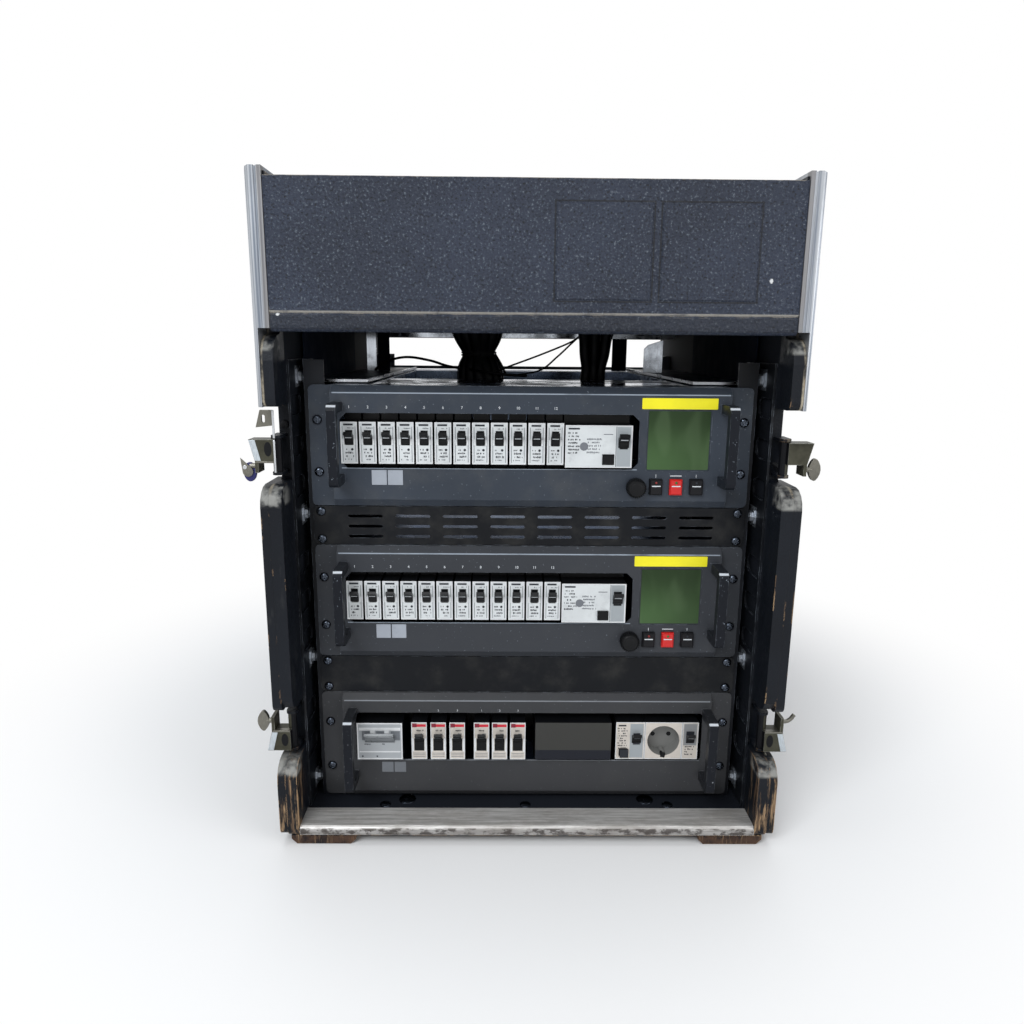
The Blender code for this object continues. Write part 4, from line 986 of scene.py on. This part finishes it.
def cover_lips():
    """Bright folded lips on the strips that lie over the top unit's sides."""
    forms = []
    for side in BOTH:
        x0, x1 = sorted((side * 181.6, side * 184.0))
        forms.append(block(x0, x1, -239.0, 243.0, UNIT1 + 0.7, UNIT1 + 4.6, 0.3))
        x0, x1 = sorted((side * 182.0, side * 254.0))
        forms.append(block(x0, x1, -241.4, -239.6, UNIT1 + 0.7, UNIT1 + 4.2, 0.3))
    piece("cover_lips", "case", forms, "bright", 40.0)


def floor_bolts():
    """Flat bolt heads in the floor in front of the lowest unit."""
    forms = []
    for x, y, radius in ((-168.0, -292.0, 6.5), (-1.5, -292.0, 6.5), (168.0, -292.0, 6.5),
                         (-143.0, -281.0, 10.0), (143.0, -281.0, 10.0)):
        profile = ((radius, -0.5), (radius, 0.6), (radius * 0.8, 1.6), (0.6, 1.9))
        forms.append(turned(profile, 20, "Z", (x, y, FLOOR_TOP)))
    piece("floor_bolts", "case", forms, "screw", 40.0)


def arm_trim(side, name, low, high):
    """Worn end face, dark dished recess painted as shade, and zinc lip of a latch arm. high is its end away
    from the lip.
    """
    step = math.copysign(1.0, high - low)

    def plate(points, start, end, bevel, part, look):
        outline = [(side * x, z) for x, z in points]
        piece(name + part, name, [prism(outline, "Y", start, end, bevel)], look, 40.0)

    plate(((294.4, high - 0.5 * step), (287.8, high - 0.5 * step), (282.4, low + 0.8 * step),
           (288.6, low + 0.8 * step)), -318.4, -317.6, 0.15, "_cap", "end")
    # painted shade: dark plate in the dished recess
    recess_shade_outline = oval(274.6, (low + high) / 2.0 + 1.5, 3.9, 7.6, 24)
    plate(recess_shade_outline, -318.15, -317.6, 0.0, "_recess_shade", "rubber")
    plate(((268.6, low - 1.6 * step), (287.4, low - 1.6 * step), (288.0, low + 0.2 * step),
           (268.6, low + 0.2 * step)), -318.3, -312.0, 0.2, "_lip", "zinc")


def latch_plates():
    """Slotted plate over the upper left latch, bent deflector plates at the lower lugs, and the bright edge
    of the wall flange, whose lower half belongs to the arm."""
    slanted = [(-286.0, 471.5), (-268.5, 473.5), (-268.5, 489.5), (-281.0, 489.5)]
    slot = rounded(-279.6, -276.0, 476.6, 484.6, 1.6)
    plates = [carved(prism(slanted, "Y", -317.6, -314.6), prism(slot, "Y", -320.0, -312.0))]
    for side, z0, z1 in ((-1.0, 77.0, 102.0), (1.0, 85.0, 105.0)):
        outline = [(side * 270.8, z1), (side * 281.0, z0 + 5.0), (side * 279.6, z0), (side * 270.8, z0 + 4.0)]
        plates.append(prism(outline, "Y", -316.0, -284.0, 0.5))
    piece("latch_plates", "case", plates, "zinc", 40.0)
    flange = block(-268.4, -266.2, -319.4, -318.4, 460.6, 489.5, 0.2)
    piece("latch_flange_edge", "case", [flange], "bright", 40.0)
    arm = "latch_left_upper_arm"
    piece(arm + "_edge", arm, [block(-268.6, -266.6, -319.0, -317.9, 424.4, 458.7, 0.2)], "bright", 40.0)


def latch_wings():
    """Butterfly wing of the upper left latch, a leaf with a rivet on a blue ring, and the bent bar seen on
    the lower right latch."""
    body = "latch_left_upper_wing"
    tip, hub, radius = Vector((-306.3, 438.9)), Vector((-299.0, 424.2)), 5.6
    toward = math.atan2(tip.y - hub.y, tip.x - hub.x)
    half = math.acos(radius / (tip - hub).length)
    angles = [toward + half + (2.0 * math.pi - 2.0 * half) * k / 20 for k in range(21)]
    leaf = [(hub.x + radius * math.cos(a), hub.y + radius * math.sin(a)) for a in angles] + [(tip.x, tip.y)]
    stem = turned([(3.0, -297.0), (3.0, -289.2)], 14, "X", (0.0, -308.0, 430.0))
    blade = prism(leaf, "Y", -311.4, -309.8, 0.5, 2)
    piece("wing_blade", body, [blade, stem], "zinc", 40.0, (body,))
    ring = prism(oval(hub.x + 1.6, hub.y - 0.6, 6.9, 10.3, 28), "Y", -309.6, -305.6, 0.8, 2)
    piece("wing_ring", body, [ring], "blue", 40.0)
    rivet = turned([(2.2, -312.0), (2.6, -309.0)], 18, "Y", (-301.7, 0.0, 429.0))
    piece("wing_rivet", body, [rivet], "bright", 40.0)
    body = "latch_right_lower_wing"
    bar = [(289.4, -308.0, 138.0), (296.0, -308.0, 139.0), (300.2, -308.0, 142.0), (303.6, -308.0, 147.0)]
    piece("wing_bar", body, [tube(spline(bar), 2.3, 12)], "zinc", 50.0, (body,))


def shock_bolts():
    """Zinc nut and thread on each black shock bolt of the side walls."""
    profile = ((5.6, 247.9), (6.2, 247.2), (6.2, 245.6), (4.2, 245.2), (3.2, 245.0), (3.0, 244.0))
    forms = [turned([(radius, side * x) for radius, x in profile], 6, "X", (0.0, -261.0, z))
             for side in BOTH for z in BOLT_HEIGHTS]
    piece("shock_bolt_nuts", "case", forms, "bright", 30.0)


def gap_fittings():
    """What shows through the gap under the fascia: a sheet on each side wall, the rear valance of the
    box, and the rails that stand behind the cable well, with painted shade in their perforations."""
    low = 517.4
    sheets = [block(x0, x0 + 1.6, -236.0, 62.0, low, 583.4, 0.3) for x0 in (-254.4, 252.8)]
    valance = [(200.2, 568.0), (203.0, 568.0), (203.0, BOX_FLOOR), (199.4, BOX_FLOOR)]
    slant = [(179.4, low), (207.7, low), (207.7, 566.0), (185.0, 558.5), (179.4, 552.6)]
    flanges = [turn(block(-235.5, -221.0, 62.0, 63.5, low, BOX_FLOOR, 0.3), 8.0, "Z", (-228.0, 62.0, 550.0)),
               turn(prism(slant, "Y", 62.0, 63.5, 0.3), -9.0, "Z", (193.0, 62.0, 550.0))]
    webs = [block(-219.5, -202.0, 66.0, 67.6, low, BOX_FLOOR, 0.3),
            block(156.0, 181.0, 240.0, 241.6, UNIT1, BOX_FLOOR)]
    # painted shade: dark discs in the rails' perforations
    hole_shades = []
    for z in (528.0, 539.0, 550.0, 561.0):
        for x, y, radius in ((-213.0, 65.7, 3.0), (168.0, 239.7, 2.8)):
            hole_shades.append(prism(disc(x, z, radius, 16), "Y", y, y + 0.5))
    piece("side_sheets", "case", sheets, "sheet", 40.0)
    piece("rear_valance", "case", [prism(valance, "X", -256.0, 256.0)], "polished", 40.0)
    piece("rear_rail_flanges", "case", flanges, "polished", 40.0)
    piece("rear_rail_webs", "case", webs, "sheet", 40.0)
    piece("rear_rail_hole_shades", "case", hole_shades, "rubber")


def wall_fittings():
    """Black bolt on the left wall and the small hook in the right upper notch."""
    bolt = turned([(4.6, 0.0), (4.6, -3.0), (3.4, -3.8), (0.6, -4.0)], 6, "Y", (-264.0, -287.4, 472.0))
    hook = [(262.0, -291.0, 434.0), (266.0, -296.0, 431.0), (270.0, -299.0, 426.0), (271.0, -298.0, 420.5),
            (266.5, -296.0, 419.5)]
    piece("wall_bolt", "case", [bolt], "rubber", 40.0)
    piece("notch_hook", "case", [tube(spline(hook), 1.9)], "rubber", 50.0)


# stage, lamps and camera, all in metres
def floor():
    """Pale floor that fades to white a step away from the object."""
    bm = bmesh.new()
    bmesh.ops.create_grid(bm, x_segments=2, y_segments=2, size=14.0)
    mesh = bpy.data.meshes.new("floor")
    bm.to_mesh(mesh)
    bm.free()
    plane = linked("floor", mesh)
    plane.location = (0.0, 0.0, -0.0004)
    look = Look("floor", 0.7, specular=0.1)
    look.colour = srgb(240, 240, 241)
    away = look.node("VectorMath", {0: look.place}, "Value", operation="LENGTH")
    glow = look.node("Emission", {"Color": (1.0, 1.0, 1.0), "Strength": 1.0}, 0)
    fade = look.times(look.ramp(away, 0.46, 0.92), look.ray("Camera", "Glossy"))
    surface = look.node("MixShader", {0: fade, 1: look.shader.outputs[0], 2: glow}, 0)
    look.put(look.tree.nodes["Material Output"].inputs["Surface"], surface)
    mesh.materials.append(look.finish())


def surround():
    """White to the camera and in reflections, and a soft light of its own elsewhere."""
    world = bpy.data.worlds.new("surround")
    bpy.context.scene.world = world
    world.use_nodes = True
    sky = Nodes(world.node_tree)
    back = sky.tree.nodes["Background"].inputs
    sky.put(back["Color"], (1.0, 1.0, 1.0))
    sky.put(back["Strength"], sky.ramp(sky.ray("Camera", "Glossy", "Transmission"), 0.0, 1.0, 0.42, 1.0))


def lamp(name, spot, aim, size, power, colour=(1.0, 1.0, 1.0)):
    data = bpy.data.lights.new(name, "AREA")
    data.shape, data.size, data.size_y = "RECTANGLE", size[0], size[1]
    data.energy, data.color = power, colour
    obj = linked(name, data)
    obj.location = spot
    obj.rotation_mode = "QUATERNION"
    obj.rotation_quaternion = (Vector((0.0, 0.0, aim)) - Vector(spot)).to_track_quat("-Z", "Y")


def camera(spot, yaw, pitch, roll, lens):
    """Camera at a spot, its yaw from +Y towards +X, its pitch from level and its roll in degrees."""
    data = bpy.data.cameras.new("camera")
    data.lens, data.sensor_width = lens, 36.0
    data.clip_start, data.clip_end = 0.01, 60.0
    yaw, pitch, roll = (math.radians(angle) for angle in (yaw, pitch, roll))
    ahead = Vector((math.sin(yaw) * math.cos(pitch), math.cos(yaw) * math.cos(pitch), math.sin(pitch)))
    level = Vector((math.cos(yaw), -math.sin(yaw), 0.0))
    top = level.cross(ahead)
    right = level * math.cos(roll) + top * math.sin(roll)
    up = top * math.cos(roll) - level * math.sin(roll)
    pose = Matrix((right, up, -ahead)).transposed().to_4x4()
    pose.translation = Vector(spot)
    obj = linked("camera", data)
    obj.matrix_world = pose
    bpy.context.scene.camera = obj


bpy.context.scene.view_settings.view_transform = "Standard"
camera((-0.0293, -1.1141, 0.5568), 0.63, -12.25, 0.49, 27.035)
floor()
surround()
lamp("key", (-1.3, -2.5, 2.4), 0.4, (1.8, 1.4), 70.0, (0.95, 0.98, 1.0))
lamp("fill", (2.2, -1.9, 1.2), 0.35, (1.6, 1.6), 22.0)
lamp("top", (0.0, 0.4, 3.0), 0.5, (2.4, 2.4), 40.0, (0.93, 0.97, 1.0))
dress()
rack_screws()
floor_bolts()
breaker_marks()
lever_highlight_lines()
power_front()
dimmer_front(1, UNIT1)
dimmer_front(2, UNIT2)
cable_loom("left", (-66.0, -64.0, -61.0), (42.0, 23.0, 35.0), 19, 1.2, True)
cable_loom("right", (94.0, 92.0, 90.0), (35.0, 26.0, 23.0), 7, 0.5, False)
thin_cables()
cover_lips()
arm_trim(-1.0, "latch_left_upper_arm", 436.0, 459.0)
arm_trim(-1.0, "latch_left_lower_arm", 129.0, 106.0)
arm_trim(1.0, "latch_right_lower_arm", 129.0, 106.0)
latch_plates()
latch_wings()
shock_bolts()
gap_fittings()
wall_fittings()
